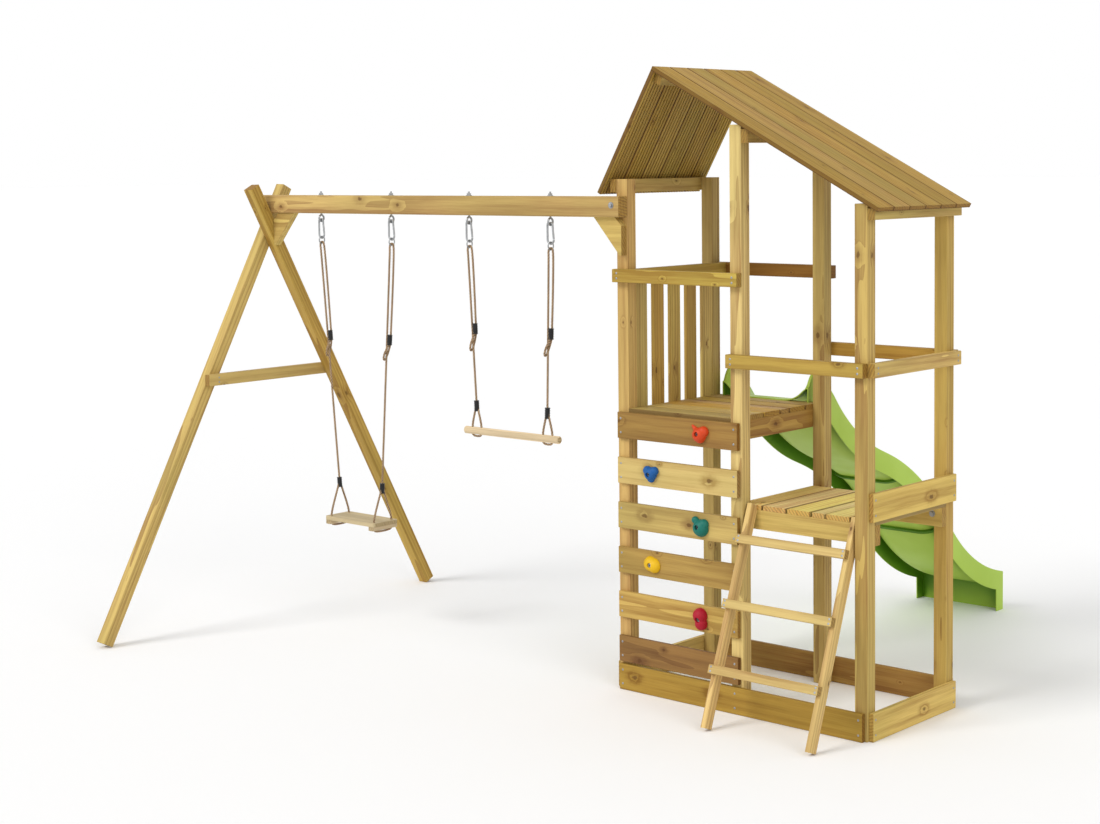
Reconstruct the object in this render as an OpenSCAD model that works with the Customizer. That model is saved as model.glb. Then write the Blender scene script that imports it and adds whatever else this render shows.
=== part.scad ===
// Wooden climbing frame: a tower with two decks, roof, climbing wall, ladder and wave slide,
// and a swing beam on crossed legs with a swing seat and a trapeze. All sizes in millimetres.
// The climbing wall faces -Y, the slide leaves along +Y and the swing beam runs along -X.

/* [Tower] */
// Side of the square posts
post_side = 58; // [50:1:72]
// Distance from one post to the next along the front
bay_pitch = 594; // [540:1:680]
// Distance from the front posts to the back posts
depth_pitch = 592; // [560:1:680]
// Height of the upper deck's top
upper_deck_top = 1216; // [1150:1:1350]
// Height of the lower deck's top
lower_deck_top = 862; // [780:1:940]
// Height of the upper rails above the upper deck
upper_rail_rise = 538; // [480:1:620]
// Height of the lower rails above the lower deck
lower_rail_rise = 562; // [500:1:640]

/* [Timber] */
// Width of the boards
board_w = 112; // [105:1:120]
// Thickness of the boards
board_t = 20; // [16:1:24]
// Gap between the deck planks
plank_gap = 7; // [4:1:9]
// Height of the rails
rail_h = 56; // [45:1:64]
// Thickness of the rails, joists and purlins
rail_t = 34; // [28:1:40]
// Height of the deck joists
joist_h = 80; // [60:1:100]
// Radius of the eased long edges of the timber
edge_r = 3; // [1:0.5:5]
// Distance of the front boards' ends from the tower's corners
board_inset = 12; // [0:1:20]

/* [Climbing wall] */
// Height of the deck above the top climbing board
wall_drop = 16; // [0:1:30]
// Height from one climbing board to the next
wall_pitch = 193; // [185:1:205]
// Width of the climbing holds
hold_w = 92; // [70:1:100]
// How far the climbing holds stand out
hold_out = 38; // [25:1:50]

/* [Roof] */
// Height of the ridge
roof_top = 2657; // [2560:1:2800]
// Distance of the ridge from the tower's left side
ridge_x = 219; // [150:1:260]
// Slope of the short roof side in degrees
left_pitch = 59.6; // [56:0.1:62]
// Slope of the long roof side in degrees
right_pitch = 27.9; // [25:0.1:29]
// Length of the short roof side
left_slope = 605; // [560:1:640]
// Length of the long roof side
right_slope = 1235; // [1180:1:1420]
// Thickness of the roof boards
roof_t = 18; // [14:1:22]
// Roof boards on each side
roof_boards = 6; // [5:1:6]
// Gap between roof boards
roof_gap = 5; // [3:1:8]

/* [Slide] */
// Width of the slide
slide_w = 460; // [400:1:500]
// Wall thickness of the slide
slide_wall = 5; // [4:0.5:8]
// Height of the slide's sides above its bed
slide_side = 70; // [50:1:100]
// How far the slide's sides hang below its bed
slide_skirt = 26; // [18:1:40]

/* [Ladder] */
// Gap between the ladder and the posts beside it
ladder_gap = 8; // [4:1:40]
// Distance of the ladder's feet from the tower
ladder_reach = 254; // [220:1:360]
// Distance from rung to rung along the ladder
rung_pitch = 266; // [230:1:280]

/* [Swing frame] */
// Height of the swing beam
beam_h = 88; // [70:1:100]
// Depth of the swing beam
beam_d = 58; // [50:1:72]
// Gap between the beam and the roof above it
beam_gap = 8; // [5:1:40]
// Distance of the crossed legs from the outermost hanger
leg_clear = 400; // [370:1:480]
// Side of the square legs
leg_side = 58; // [50:1:72]
// Lean of the legs in degrees
leg_lean = 27.5; // [24:0.1:30]
// Distance of the seat's centre from the tower
seat_reach = 1603; // [1560:1:1640]
// Distance of the trapeze's centre from the tower
trapeze_reach = 598; // [560:1:640]
// Distance between the two hangers of a swing
hanger_pitch = 494; // [440:1:520]

/* [Swing seat and trapeze] */
// Length of the seat
seat_w = 350; // [320:1:400]
// Depth of the seat
seat_d = 160; // [130:1:190]
// Thickness of the seat
seat_t = 18; // [15:1:24]
// Height of the seat's top above the ground
seat_top = 560; // [450:1:650]
// Length of the trapeze bar
bar_l = 574; // [540:1:640]
// Diameter of the trapeze bar
bar_dia = 34; // [30:1:40]
// Height of the trapeze bar's middle above the ground
bar_z = 1050; // [950:1:1200]
// Diameter of the ropes
rope_d = 10; // [8:1:12]
// Length of a carabiner
carabiner_l = 100; // [90:1:110]
// Wire of the eye bolts and carabiners
wire_d = 9; // [8:0.5:10]

/* [Hidden] */
// Gap between faces that turn in each other
turn_gap = 0.4;
// Overrun of cuts
over = 1;
// Faces of round parts
round_fn = 32;
// Faces of long sweeps
sweep_fn = 240;

// Tower lines
middle_x = bay_pitch;
right_x = 2 * bay_pitch;
tower_w = right_x + post_side;
tower_d = depth_pitch + post_side;
upper_bay_w = middle_x - post_side;
middle_inner_x = middle_x + post_side;
back_inner_y = depth_pitch;
plank_bed = upper_deck_top - board_t;
low_plank_bed = lower_deck_top - board_t;
upper_rail_z = upper_deck_top + upper_rail_rise;
lower_rail_z = lower_deck_top + lower_rail_rise;
wide_planks = 5;
filler_after = 3;
lower_deck_w = tower_w - middle_x;
// A narrow plank fills what the wide ones leave
upper_filler_w = tower_d - wide_planks * (board_w + plank_gap);
lower_filler_w = lower_deck_w - wide_planks * (board_w + plank_gap);
slat_w = 72;
slat_t = 16;
slat_count = 5;
slat_play = 1;
slat_drop = 10;
slat_pitch = (depth_pitch - post_side - slat_w - 2 * slat_play) / (slat_count - 1);

// Roof lines
function right_under(x) =
    roof_top - (x - ridge_x) * tan(right_pitch) - roof_t / cos(right_pitch);
function left_under(x) =
    roof_top - (ridge_x - x) * tan(left_pitch) - roof_t / cos(left_pitch);
left_post_h = left_under(-rail_t);
middle_post_h = right_under(middle_inner_x);
right_post_h = right_under(tower_w);
roof_d = roof_boards * board_w + (roof_boards - 1) * roof_gap;
roof_y = (tower_d - roof_d) / 2;
eave_purlin_h = 44;
ridge_purlin_h = 44;
ridge_lean = left_pitch + right_pitch - 90;
ridge_play = 0.5;
ridge_in = roof_t / cos(ridge_lean) + ridge_purlin_h * max(0, tan(ridge_lean)) + ridge_play;
groove_count = 5;
groove_w = 5;
groove_deep = 3;
left_eave_z = roof_top - left_slope * sin(left_pitch) - roof_t * cos(left_pitch);

// Climbing holds
hold_left_share = 0.305;
hold_right_share = 0.7;
bolt_head_d = 20;
bolt_hole_d = 11;
hold_floor = 12;

// Slide lines, an arc or a straight at a time, in the plane of Y and Z
slide_x = (post_side + middle_x) / 2;
slide_lip = 36;
lip_run = 46;
first_r = 152;
first_dip = 49.8;
first_run = 22;
second_r = 963;
second_dip = 21.1;
second_run = 63;
third_r = 1169;
third_dip = 48.3;
fourth_r = 972;
exit_dip = 14.1;
exit_run = 61;
bed_half = 100;
rim_w = 12;
side_steps = 6;
fold_share = 0.94;
rib_deep = 9;
rib_w = 12;
rib_dip = 31;
rib_share = 0.6;
rib_start_share = 0.01;
rib_end_share = 0.82;
foot_step = 2;
cheek_rise = 122;
cheek_l = 200;
// Rings of the sweep: the turn from ring to ring, and the shares of the level lip
ring_turn = 4;
rim_least_share = 0.85;
lip_shares = [0, 0.05, 0.15, 0.33, 0.55, slide_lip / lip_run];
function along(p, a, l) = [p[0] + l * cos(a), p[1] - l * sin(a)];
function dipped(p, r, a, b) = [p[0] + r * (sin(b) - sin(a)), p[1] + r * (cos(b) - cos(a))];
function raised(p, r, a, b) = [p[0] + r * (sin(a) - sin(b)), p[1] + r * (cos(a) - cos(b))];
slide_start = [tower_d - slide_lip, upper_deck_top + slide_wall];
slide_1 = along(slide_start, 0, lip_run);
slide_2 = dipped(slide_1, first_r, 0, first_dip);
slide_3 = along(slide_2, first_dip, first_run);
slide_4 = raised(slide_3, second_r, first_dip, second_dip);
slide_5 = along(slide_4, second_dip, second_run);
slide_6 = dipped(slide_5, third_r, second_dip, third_dip);
// The steep straight takes up what the deck's height leaves, so that the slide ends at one height
exit_bed = 120;
exit_drop = fourth_r * (cos(exit_dip) - cos(third_dip)) + exit_run * sin(exit_dip);
steep_run = (slide_6[1] - exit_bed - exit_drop) / sin(third_dip);
slide_7 = along(slide_6, third_dip, steep_run);
slide_8 = raised(slide_7, fourth_r, third_dip, exit_dip);
slide_end = along(slide_8, exit_dip, exit_run);

// Ladder
stringer_w = 22;
stringer_d = 50;
rung_h = 36;
rung_t = 28;
rung_count = 3;
rung_first = 214;
ladder_bite = 14;
ladder_low = 6;
ladder_x = (middle_inner_x + right_x) / 2;
ladder_w = bay_pitch - post_side - 2 * ladder_gap;
ladder_lean = atan((post_side + ladder_bite + ladder_reach) / lower_deck_top);
stringer_l = (lower_deck_top - ladder_low) / cos(ladder_lean);

// Swing frame
beam_r = 8;
beam_top = left_eave_z - beam_gap;
beam_under = beam_top - beam_h;
beam_mid = -beam_d / 2;
beam_end = 26;
beam_span = seat_reach + hanger_pitch / 2 + leg_clear;
beam_left = -beam_span - beam_end;
beam_right = post_side;
leg_half = leg_side / 2;
leg_seat_gap = 0.7;
cross_z = beam_under + beam_r - leg_seat_gap
    - (leg_half + beam_r + (beam_d / 2 - beam_r) * cos(leg_lean)) / sin(leg_lean);
leg_up = 272;
brace_z = 1192;
cross_top = cross_z + leg_half / sin(leg_lean);
leg_tilt = atan(rail_t / 2 / (cross_top - brace_z - rail_h));
leg_shift = (cross_top - cross_z) * tan(leg_tilt);
leg_offset = leg_half / cos(leg_tilt) + leg_shift;
leg_down = ((cross_z - leg_half * sin(leg_tilt)) / cos(leg_tilt) - leg_half * sin(leg_lean))
    / cos(leg_lean);
brace_half = (cross_z - brace_z) * tan(leg_lean) + leg_half;
bracket_l = 152;
bracket_h = 162;
bracket_cut = 36;
bracket_tip = 10;
bracket_play = 1.2;
leg_bracket_x = -beam_span + leg_offset + leg_half / cos(leg_tilt) + bracket_play;

// Hangers
eye_r = 15;
eye_neck = 4;
nut_d = 20;
nut_h = 9;
washer_d = 28;
washer_h = 2.5;
stud_over = 8;
bore_play = 0.5;
eye_z = beam_under - eye_neck - eye_r - wire_d / 2;
hinge_z = eye_z - eye_r + wire_d + turn_gap;
nape_l = 12;
nape_r = 9;
belly_r = 18;
nape_left = nape_r - belly_r;
gate_x = nape_left + nape_l + nape_r;
spine_z = hinge_z - nape_r;
belly_z = hinge_z - carabiner_l + wire_d + belly_r;
gate_drop = 8;
tongue_rise = 6;
gate_z = spine_z - gate_drop;
gate_pin_d = 3;
pin_gap = 0.1;
gate_slot = 4;
tongue_t = 3.2;
nose_gap = 1.2;
gate_len = gate_z - belly_z - nose_gap;
gate_lean = atan((belly_r - gate_x) / gate_len);
ring_wire = 6;
ring_r = 17;
ring_gap = 0.05;
ring_z = belly_z - belly_r + wire_d / 2 + ring_wire / 2 - ring_r + ring_gap;
loop_z = ring_z - ring_r + ring_wire / 2 + rope_d / 2;

// Seat, trapeze and rope routes; a route runs down from the ring, across and to the back
seat_hole_in = 24;
seat_hole_x = seat_w / 2 - seat_hole_in;
seat_hole_y = seat_d / 2 - seat_hole_in;
hole_play = 1.6;
batten_w = 34;
batten_t = 20;
seat_corner = 16;
bar_hole = 27;
bar_hang = 216;
bar_chamfer = 4;
sleeve_d = 24;
sleeve_l = 48;
sleeve_groove = 1.5;
seat_bridle = 158;
bar_bridle = 114;
seat_sleeve_share = 0.6114;
bar_sleeve_share = 0.4832;
seat_low_sleeve = seat_top + seat_bridle;
bar_low_sleeve = bar_z + bar_bridle;
seat_high_sleeve = seat_low_sleeve + seat_sleeve_share * (loop_z - seat_low_sleeve);
bar_high_sleeve = bar_low_sleeve + bar_sleeve_share * (loop_z - bar_low_sleeve);
rope_gap = 0.3;
rope_bend = 8;
under_run = rope_d / 2 + rope_gap;
strand_in = 5.4;
tube_fn = 8;
// Turn of the rope over its ring and its eye around the main strand, as distance down, across, back
turn_points = [[40, -12, 0], [16, -13, 0], [4, -9, 0], [0, 0, 0], [4, 9, 0], [16, 13, 0]];
eye_points = [
    [-24, 12, 5.4], [22, 10, 5.8], [68, -9, 11], [94, -18, 7], [100, -20, 0],
    [94, -18, -7], [68, -9, -11], [22, 10, -5.8], [-20, 12, -5.4],
];

// Whole part, which stands with the middle of its outline on the origin
leg_foot_up = leg_half * sin(leg_lean) + leg_down * cos(leg_lean);
part_left = -beam_span - leg_offset - leg_half * cos(leg_tilt) - leg_foot_up * sin(leg_tilt);
part_right = max(ridge_x + right_slope * cos(right_pitch), tower_w + rail_t);
part_front = beam_mid - leg_half * cos(leg_lean) - leg_down * sin(leg_lean);
part_back = max(slide_end[0], beam_mid - part_front + beam_mid);
centre_x = (part_left + part_right) / 2;
centre_y = (part_front + part_back) / 2;

wood = "#c8a763";
dark_wood = "#a98648";
pale_wood = "#e3cfa0";
slide_green = "#93bc3a";
steel = "#b9bcc0";
rope_brown = "#a58a5c";
black = "#202022";

module placed() translate([-centre_x, -centre_y, 0]) children();

// Section with eased corners
module eased(a, b, r = edge_r) {
    translate([r, 0]) square([a - 2 * r, b]);
    translate([0, r]) square([a, b - 2 * r]);
    for (x = [r, a - r], y = [r, b - r]) translate([x, y]) circle(r, $fn = round_fn);
}

module bar_x(l, d, h, r = edge_r) rotate([90, 0, 90]) linear_extrude(l) eased(d, h, r);
module bar_y(l, w, h, r = edge_r)
    translate([0, l, 0]) rotate([90, 0, 0]) linear_extrude(l) eased(w, h, r);
module bar_z(l, w, d, r = edge_r) linear_extrude(l) eased(w, d, r);

// Posts
module post(x, y, h) color(wood) placed() translate([x, y, 0]) bar_z(h, post_side, post_side);
module front_left_post() post(0, 0, left_post_h);
module front_middle_post() post(middle_x, 0, middle_post_h);
module front_right_post() post(right_x, 0, right_post_h);
module back_left_post() post(0, depth_pitch, left_post_h);
module back_middle_post() post(middle_x, depth_pitch, middle_post_h);
module back_right_post() post(right_x, depth_pitch, right_post_h);

// Boards round the foot of the tower
module base_boards_long() color(wood) placed() for (y = [-board_t, tower_d])
    translate([board_inset, y, 0]) bar_x(tower_w - 2 * board_inset, board_t, board_w);
module base_boards_short() color(wood) placed() for (x = [-board_t, tower_w])
    translate([x, board_inset, 0]) bar_y(tower_d - 2 * board_inset, board_t, board_w);

// Climbing wall
function wall_board_z(i) = upper_deck_top - wall_drop - board_w - (i - 1) * wall_pitch;
module climbing_board(i) color(wood) placed()
    translate([board_inset, -board_t, wall_board_z(i)])
        bar_x(middle_inner_x - 2 * board_inset, board_t, board_w);
module climbing_board_1() climbing_board(1);
module climbing_board_2() climbing_board(2);
module climbing_board_3() climbing_board(3);
module climbing_board_4() climbing_board(4);
module climbing_board_5() climbing_board(5);
module climbing_board_6() climbing_board(6);

// Part of a ball that stands out from a flat back
module dome(r, h) {
    ball = (r * r + h * h) / (2 * h);
    intersection() {
        translate([0, 0, h - ball]) sphere(ball, $fn = round_fn);
        translate([-r - over, -r - over, 0])
            cube([2 * r + 2 * over, 2 * r + 2 * over, h + over]);
    }
}

// A hold stands on its board, with a recess for the bolt
module hold(i, colour) {
    share = i % 2 == 1 ? hold_right_share : hold_left_share;
    at_z = wall_board_z(i) + board_w / 2;
    color(colour) placed() translate([share * middle_inner_x, -board_t, at_z]) rotate([90, 0, 0])
        difference() {
            children();
            translate([0, 0, hold_floor]) cylinder(h = hold_out, d = bolt_head_d, $fn = round_fn);
            translate([0, 0, -over])
                cylinder(h = hold_floor + 2 * over, d = bolt_hole_d, $fn = round_fn);
        }
}
// A lobe is a place across and up, a radius and a height, as shares of the hold's width and depth
module lobes(shares) for (q = shares)
    translate([q[0] * hold_w, q[1] * hold_w]) dome(q[2] * hold_w, q[3] * hold_out);
orange_shares = [[0, -0.05, 0.33, 1], [0.22, 0.11, 0.24, 0.8], [0.02, -0.2, 0.22, 0.72]];
blue_shares = [
    [0, 0.02, 0.3, 0.95], [-0.2, 0.16, 0.19, 0.72], [0.2, 0.16, 0.19, 0.72], [0, -0.21, 0.17, 0.6],
];
teal_shares = [[0.03, -0.06, 0.4, 1], [-0.27, 0.28, 0.15, 0.6], [0.2, 0.12, 0.24, 0.75]];
yellow_shares = [[-0.1, 0.03, 0.36, 0.78], [0.1, -0.03, 0.36, 0.78]];
crimson_shares = [[-0.02, 0.15, 0.35, 1], [0.04, -0.21, 0.29, 0.9]];
horn_from_shares = [-0.08, 0.02];
horn_length_share = 0.52;
horn_wide_share = 0.2;
horn_tip_share = 0.05;
horn_turn = 49;
module horn() intersection() {
    translate([horn_from_shares[0] * hold_w, horn_from_shares[1] * hold_w])
        rotate([-90, 0, horn_turn]) cylinder(h = horn_length_share * hold_w,
            r1 = horn_wide_share * hold_w, r2 = horn_tip_share * hold_w, $fn = round_fn);
    translate([-hold_w, -hold_w, 0]) cube([2 * hold_w, 2 * hold_w, hold_out]);
}
module climbing_hold_1() hold(1, "#dd5a24") {
    lobes(orange_shares);
    horn();
}
module climbing_hold_2() hold(2, "#1f66ba") lobes(blue_shares);
module climbing_hold_3() hold(3, "#178070") lobes(teal_shares);
module climbing_hold_4() hold(4, "#e8c117") lobes(yellow_shares);
module climbing_hold_5() hold(5, "#bb1232") lobes(crimson_shares);

// Decks
function plank_at(i, filler) =
    i <= filler_after ? i * (board_w + plank_gap) : (i - 1) * (board_w + plank_gap) + filler + plank_gap;
function plank_w(i, filler) = i == filler_after ? filler : board_w;
module upper_deck_joists() color(wood) placed()
    for (x = [post_side, middle_x - rail_t])
        translate([x, 0, plank_bed - joist_h]) bar_y(tower_d, rail_t, joist_h);
module upper_deck_planks() color(wood) placed()
    for (i = [0:wide_planks])
        translate([post_side, plank_at(i, upper_filler_w), plank_bed])
            bar_x(upper_bay_w, plank_w(i, upper_filler_w), board_t);
module lower_deck_joists() color(wood) placed()
    for (y = [post_side, depth_pitch - rail_t])
        translate([middle_x, y, low_plank_bed - joist_h]) bar_x(lower_deck_w, rail_t, joist_h);
module lower_deck_planks() color(wood) placed()
    for (i = [0:wide_planks])
        translate([middle_x + plank_at(i, lower_filler_w), post_side, low_plank_bed])
            bar_y(depth_pitch - post_side, plank_w(i, lower_filler_w), board_t);
module deck_side_board() color(wood) placed()
    translate([tower_w, board_inset, lower_deck_top])
        bar_y(tower_d - 2 * board_inset, board_t, board_w);

// Rails
module upper_rail_front() color(wood) placed()
    translate([0, -rail_t, upper_rail_z]) bar_x(middle_inner_x, rail_t, rail_h);
module upper_rail_left() color(wood) placed()
    translate([post_side, 0, upper_rail_z]) bar_y(tower_d, rail_t, rail_h);
module upper_rail_back() color(dark_wood) placed()
    translate([0, tower_d, upper_rail_z]) bar_x(middle_inner_x, rail_t, rail_h);
module balustrade_slats() color(wood) placed()
    for (i = [0:slat_count - 1])
        translate([post_side - slat_t, post_side + slat_play + i * slat_pitch,
                plank_bed - joist_h + slat_drop])
            bar_z(upper_rail_z + rail_h - plank_bed + joist_h - 2 * slat_drop, slat_t, slat_w);
module lower_rail_front() color(wood) placed()
    translate([middle_x, -rail_t, lower_rail_z]) bar_x(lower_deck_w, rail_t, rail_h);
module lower_rail_right() color(wood) placed()
    translate([tower_w, 0, lower_rail_z]) bar_y(tower_d, rail_t, rail_h);
module lower_rail_back() color(wood) placed()
    translate([middle_x, tower_d, lower_rail_z]) bar_x(lower_deck_w, rail_t, rail_h);

// Roof
module roof_section() {
    pitch = board_w / (groove_count + 1);
    difference() {
        translate([0, -roof_t]) eased(board_w, roof_t, edge_r / 2);
        for (i = [1:groove_count]) translate([i * pitch - groove_w / 2, -roof_t - over])
            square([groove_w, groove_deep + over]);
    }
}
module roof_row(l)
    for (i = [0:roof_boards - 1])
        translate([0, roof_y + i * (board_w + roof_gap), 0])
            rotate([90, 0, 90]) linear_extrude(l) roof_section();
module on_right_slope() translate([ridge_x, 0, roof_top]) rotate([0, right_pitch, 0]) children();
module roof_boards_right() color(dark_wood) placed() on_right_slope() roof_row(right_slope);
module roof_boards_left() color(dark_wood) placed() difference() {
    translate([ridge_x, 0, roof_top]) mirror([1, 0, 0]) rotate([0, left_pitch, 0]) roof_row(left_slope);
    on_right_slope() translate([-left_slope / 2, roof_y - over, -roof_t])
        cube([left_slope, roof_d + 2 * over, left_slope]);
}
module roof_purlins() color(wood) placed() {
    translate([-rail_t, 0, left_post_h - rail_h]) bar_y(tower_d, rail_t, rail_h);
    translate([middle_inner_x, 0, right_under(middle_inner_x + rail_t) - rail_h])
        bar_y(tower_d, rail_t, rail_h);
    translate([tower_w, 0, right_under(tower_w + rail_t) - eave_purlin_h])
        bar_y(tower_d, rail_t, eave_purlin_h);
    on_right_slope() translate([ridge_in, 0, -roof_t - ridge_purlin_h])
        bar_y(tower_d, rail_t, ridge_purlin_h);
}

// Ladder
module leaned() translate([ladder_x, -ladder_reach, 0]) rotate([-ladder_lean, 0, 0]) children();
module ladder_stringers() color(wood) placed() difference() {
    leaned() for (x = [-ladder_w / 2, ladder_w / 2 - stringer_w])
        translate([x, -stringer_d, 0]) bar_z(stringer_l, stringer_w, stringer_d);
    translate([middle_x, post_side, 0]) cube([lower_deck_w, post_side, lower_deck_top]);
}
module ladder_rungs() color(wood) placed() leaned()
    for (i = [0:rung_count - 1])
        translate([-ladder_w / 2, -stringer_d - rung_t, rung_first + i * rung_pitch])
            bar_x(ladder_w, rung_t, rung_h);

// Slide. Its section is swept along the line in the plane of Y and Z, ring by ring. The one moulding
// is kept as a bed and two sides, which meet face to face along the edges of the bed.
slide_half = slide_w / 2;
side_run = slide_half - rim_w - bed_half;
// The trough's side is an arc that leaves the flat bed smoothly and ends at the rim
side_r = (side_run * side_run + slide_side * slide_side) / (2 * slide_side);
side_turn = asin(side_run / side_r);
function side_point(r, a) = [bed_half + r * sin(a), side_r - r * cos(a)];
fold_z = side_point(side_r + slide_wall, side_turn * fold_share)[1];
function slide_outline(rim, skirt) = concat(
    [for (i = [0:side_steps - 1]) side_point(side_r, side_turn * i / side_steps)],
    [
        [slide_half - rim_w, rim], [slide_half, rim], [slide_half, -skirt],
        [slide_half - slide_wall, -skirt], [slide_half - slide_wall, fold_z],
    ],
    [for (i = [side_steps:-1:0])
        side_point(side_r + slide_wall, side_turn * fold_share * i / side_steps)]
);
// Sections: 0 is the bed and 1 the right side, which the left one mirrors
function section(k, rim, skirt) = k == 0
    ? [[-bed_half, 0], [bed_half, 0], [bed_half, -slide_wall], [-bed_half, -slide_wall]]
    : slide_outline(rim, skirt);
// A cheek beside the entrance is high at the deck and runs out down the slide.
// Each pair is a share of the cheek's run along the bed and a share of its rise.
cheek_shares = [
    [0, 0.3], [0.01, 0.38], [0.035, 0.5], [0.075, 0.66], [0.125, 0.82], [0.175, 0.92], [0.23, 0.973],
    [0.296, 0.995], [0.363, 0.942], [0.429, 0.87], [0.495, 0.79], [0.562, 0.72], [0.628, 0.665],
    [0.694, 0.625], [0.761, 0.6], [0.85, 0.58], [1, 0.574],
];
function cheek_rim(d) = d > cheek_l ? slide_side : max(
    cheek_rise * lookup(d / cheek_l, cheek_shares),
    slide_side * (d < cheek_l / 2 ? rim_least_share : 1)
);
function arc_steps(turn) = ceil(abs(turn) / ring_turn);
function arc_len(r, turn) = r * turn * PI / 180;
// A station holds a point of the bed, its dip, the rim's height and the skirt's depth
function first_part() = concat(
    [for (q = lip_shares) let (d = q * lip_run)
        [along(slide_start, 0, d), 0, cheek_rim(d), slide_wall]],
    [let (n = arc_steps(first_dip)) for (i = [0:n]) let (a = first_dip * i / n)
        [dipped(slide_1, first_r, 0, a), a, cheek_rim(lip_run + arc_len(first_r, a)), slide_skirt]]
);
function turn_part(from, r, a, b) = let (n = arc_steps(b - a))
    [for (i = [0:n]) let (t = a + (b - a) * i / n)
        [b > a ? dipped(from, r, a, t) : raised(from, r, a, t), t, slide_side, slide_skirt]];
function slide_stations() = concat(
    first_part(),
    turn_part(slide_3, second_r, first_dip, second_dip),
    turn_part(slide_5, third_r, second_dip, third_dip),
    turn_part(slide_7, fourth_r, third_dip, exit_dip),
    [let (p = along(slide_8, exit_dip, foot_step)) [p, exit_dip, slide_side, p[1] / cos(exit_dip)]]
);
function slide_ring(k, s) = [for (q = section(k, s[2], s[3]))
    [slide_x + q[0], s[0][0] + q[1] * sin(s[1]), s[0][1] + q[1] * cos(s[1])]];
// The last ring is cut upright, and the skirts beside it stand on the ground
function last_ring(k) = [for (q = section(k, slide_side, slide_end[1] * cos(exit_dip)))
    [slide_x + q[0], slide_end[0], slide_end[1] + q[1] / cos(exit_dip)]];
module slide_sweep(k) {
    rings = concat([for (s = slide_stations()) slide_ring(k, s)], [last_ring(k)]);
    n = len(rings[0]);
    m = len(rings) - 1;
    points = [for (r = rings, q = r) q];
    sides = [for (i = [0:m - 1], j = [0:n - 1], k = [0, 1]) let (e = (j + 1) % n) k == 0
        ? [i * n + j, (i + 1) * n + e, i * n + e] : [i * n + j, (i + 1) * n + j, (i + 1) * n + e]];
    first = [for (j = [0:n - 1]) j];
    last = [for (j = [n - 1:-1:0]) m * n + j];
    polyhedron(points, concat([first], sides, [last]), convexity = 8);
}
// A stiffening rib runs across below the bed and up both sides. It starts inside the wall.
function wall_arc(r) = [for (i = [0:side_steps])
    side_point(r, side_turn * (rib_start_share + (rib_end_share - rib_start_share) * i / side_steps))];
function backwards(p) = [for (i = [len(p) - 1:-1:0]) p[i]];
function rib_section(k) = k == 0
    ? [[-bed_half, -slide_wall / 2], [bed_half, -slide_wall / 2],
        [bed_half, -slide_wall - rib_deep], [-bed_half, -slide_wall - rib_deep]]
    : concat(wall_arc(side_r + slide_wall / 2), backwards(wall_arc(side_r + slide_wall + rib_deep)));
module slide_rib(k, p, a) translate([slide_x, p[0], p[1]]) rotate([90 - a, 0, 0])
    translate([0, 0, -rib_w / 2]) linear_extrude(rib_w) polygon(rib_section(k));
module slide_ribs(k) {
    slide_rib(k, dipped(slide_5, third_r, second_dip, rib_dip), rib_dip);
    slide_rib(k, along(slide_6, third_dip, steep_run * rib_share), third_dip);
}
// The slide's end is closed down to the ground
function foot_z(q) = [q[0], slide_end[1] + q[1] / cos(exit_dip)];
function foot_section(k) = let (
    mid_r = side_r + slide_wall / 2,
    edge = slide_half - slide_wall / 2,
    arc = [for (i = [0:side_steps - 1]) foot_z(side_point(mid_r, side_turn * i / side_steps))]
) k == 0
    ? [[-bed_half, 0], [bed_half, 0],
        foot_z([bed_half, -slide_wall / 2]), foot_z([-bed_half, -slide_wall / 2])]
    : concat([[bed_half, 0]], arc, [foot_z([edge, slide_side - slide_wall]), [edge, 0]]);
module slide_foot(k) translate([slide_x, slide_end[0] - slide_wall / 2, 0]) rotate([90, 0, 0])
    linear_extrude(slide_wall) polygon(foot_section(k));
module slide_part(k) {
    slide_sweep(k);
    slide_foot(k);
    slide_ribs(k);
}
module slide_bed() color(slide_green) placed() slide_part(0);
module slide_side_left() color(slide_green) placed()
    translate([2 * slide_x, 0, 0]) mirror([1, 0, 0]) slide_part(1);
module slide_side_right() color(slide_green) placed() slide_part(1);

// Swing frame
hanger_xs = [
    -seat_reach - hanger_pitch / 2, -seat_reach + hanger_pitch / 2,
    -trapeze_reach - hanger_pitch / 2, -trapeze_reach + hanger_pitch / 2,
];
module swing_beam() color(wood) placed() difference() {
    translate([beam_left, -beam_d, beam_under])
        bar_x(beam_right - beam_left, beam_d, beam_h, beam_r);
    for (x = hanger_xs) translate([x, beam_mid, beam_under - over])
        cylinder(h = beam_h + 2 * over, d = wire_d + 2 * bore_play, $fn = round_fn);
}
module swing_leg(s) color(wood) placed()
    translate([-beam_span - s * leg_offset, beam_mid, cross_z]) rotate([-s * leg_lean, s * leg_tilt, 0])
        translate([-leg_half, -leg_half, -leg_down]) bar_z(leg_down + leg_up, leg_side, leg_side);
module swing_leg_front() swing_leg(1);
module swing_leg_back() swing_leg(-1);
module swing_leg_brace() color(wood) placed()
    translate([-beam_span - rail_t / 2, beam_mid - brace_half, brace_z])
        bar_y(2 * brace_half, rail_t, rail_h);
module bracket() rotate([90, 0, 0]) linear_extrude(rail_t) polygon([
    [0, -bracket_h], [0, -bracket_cut], [-bracket_cut, 0], [-bracket_l, 0], [-bracket_tip, -bracket_h],
]);
module beam_brackets() color(wood) placed() {
    translate([post_side - bracket_tip / 2, 0, beam_under]) bracket();
    translate([leg_bracket_x, beam_mid - rail_t / 2, beam_under]) mirror([1, 0, 0]) mirror([0, 1, 0])
        bracket();
}

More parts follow.
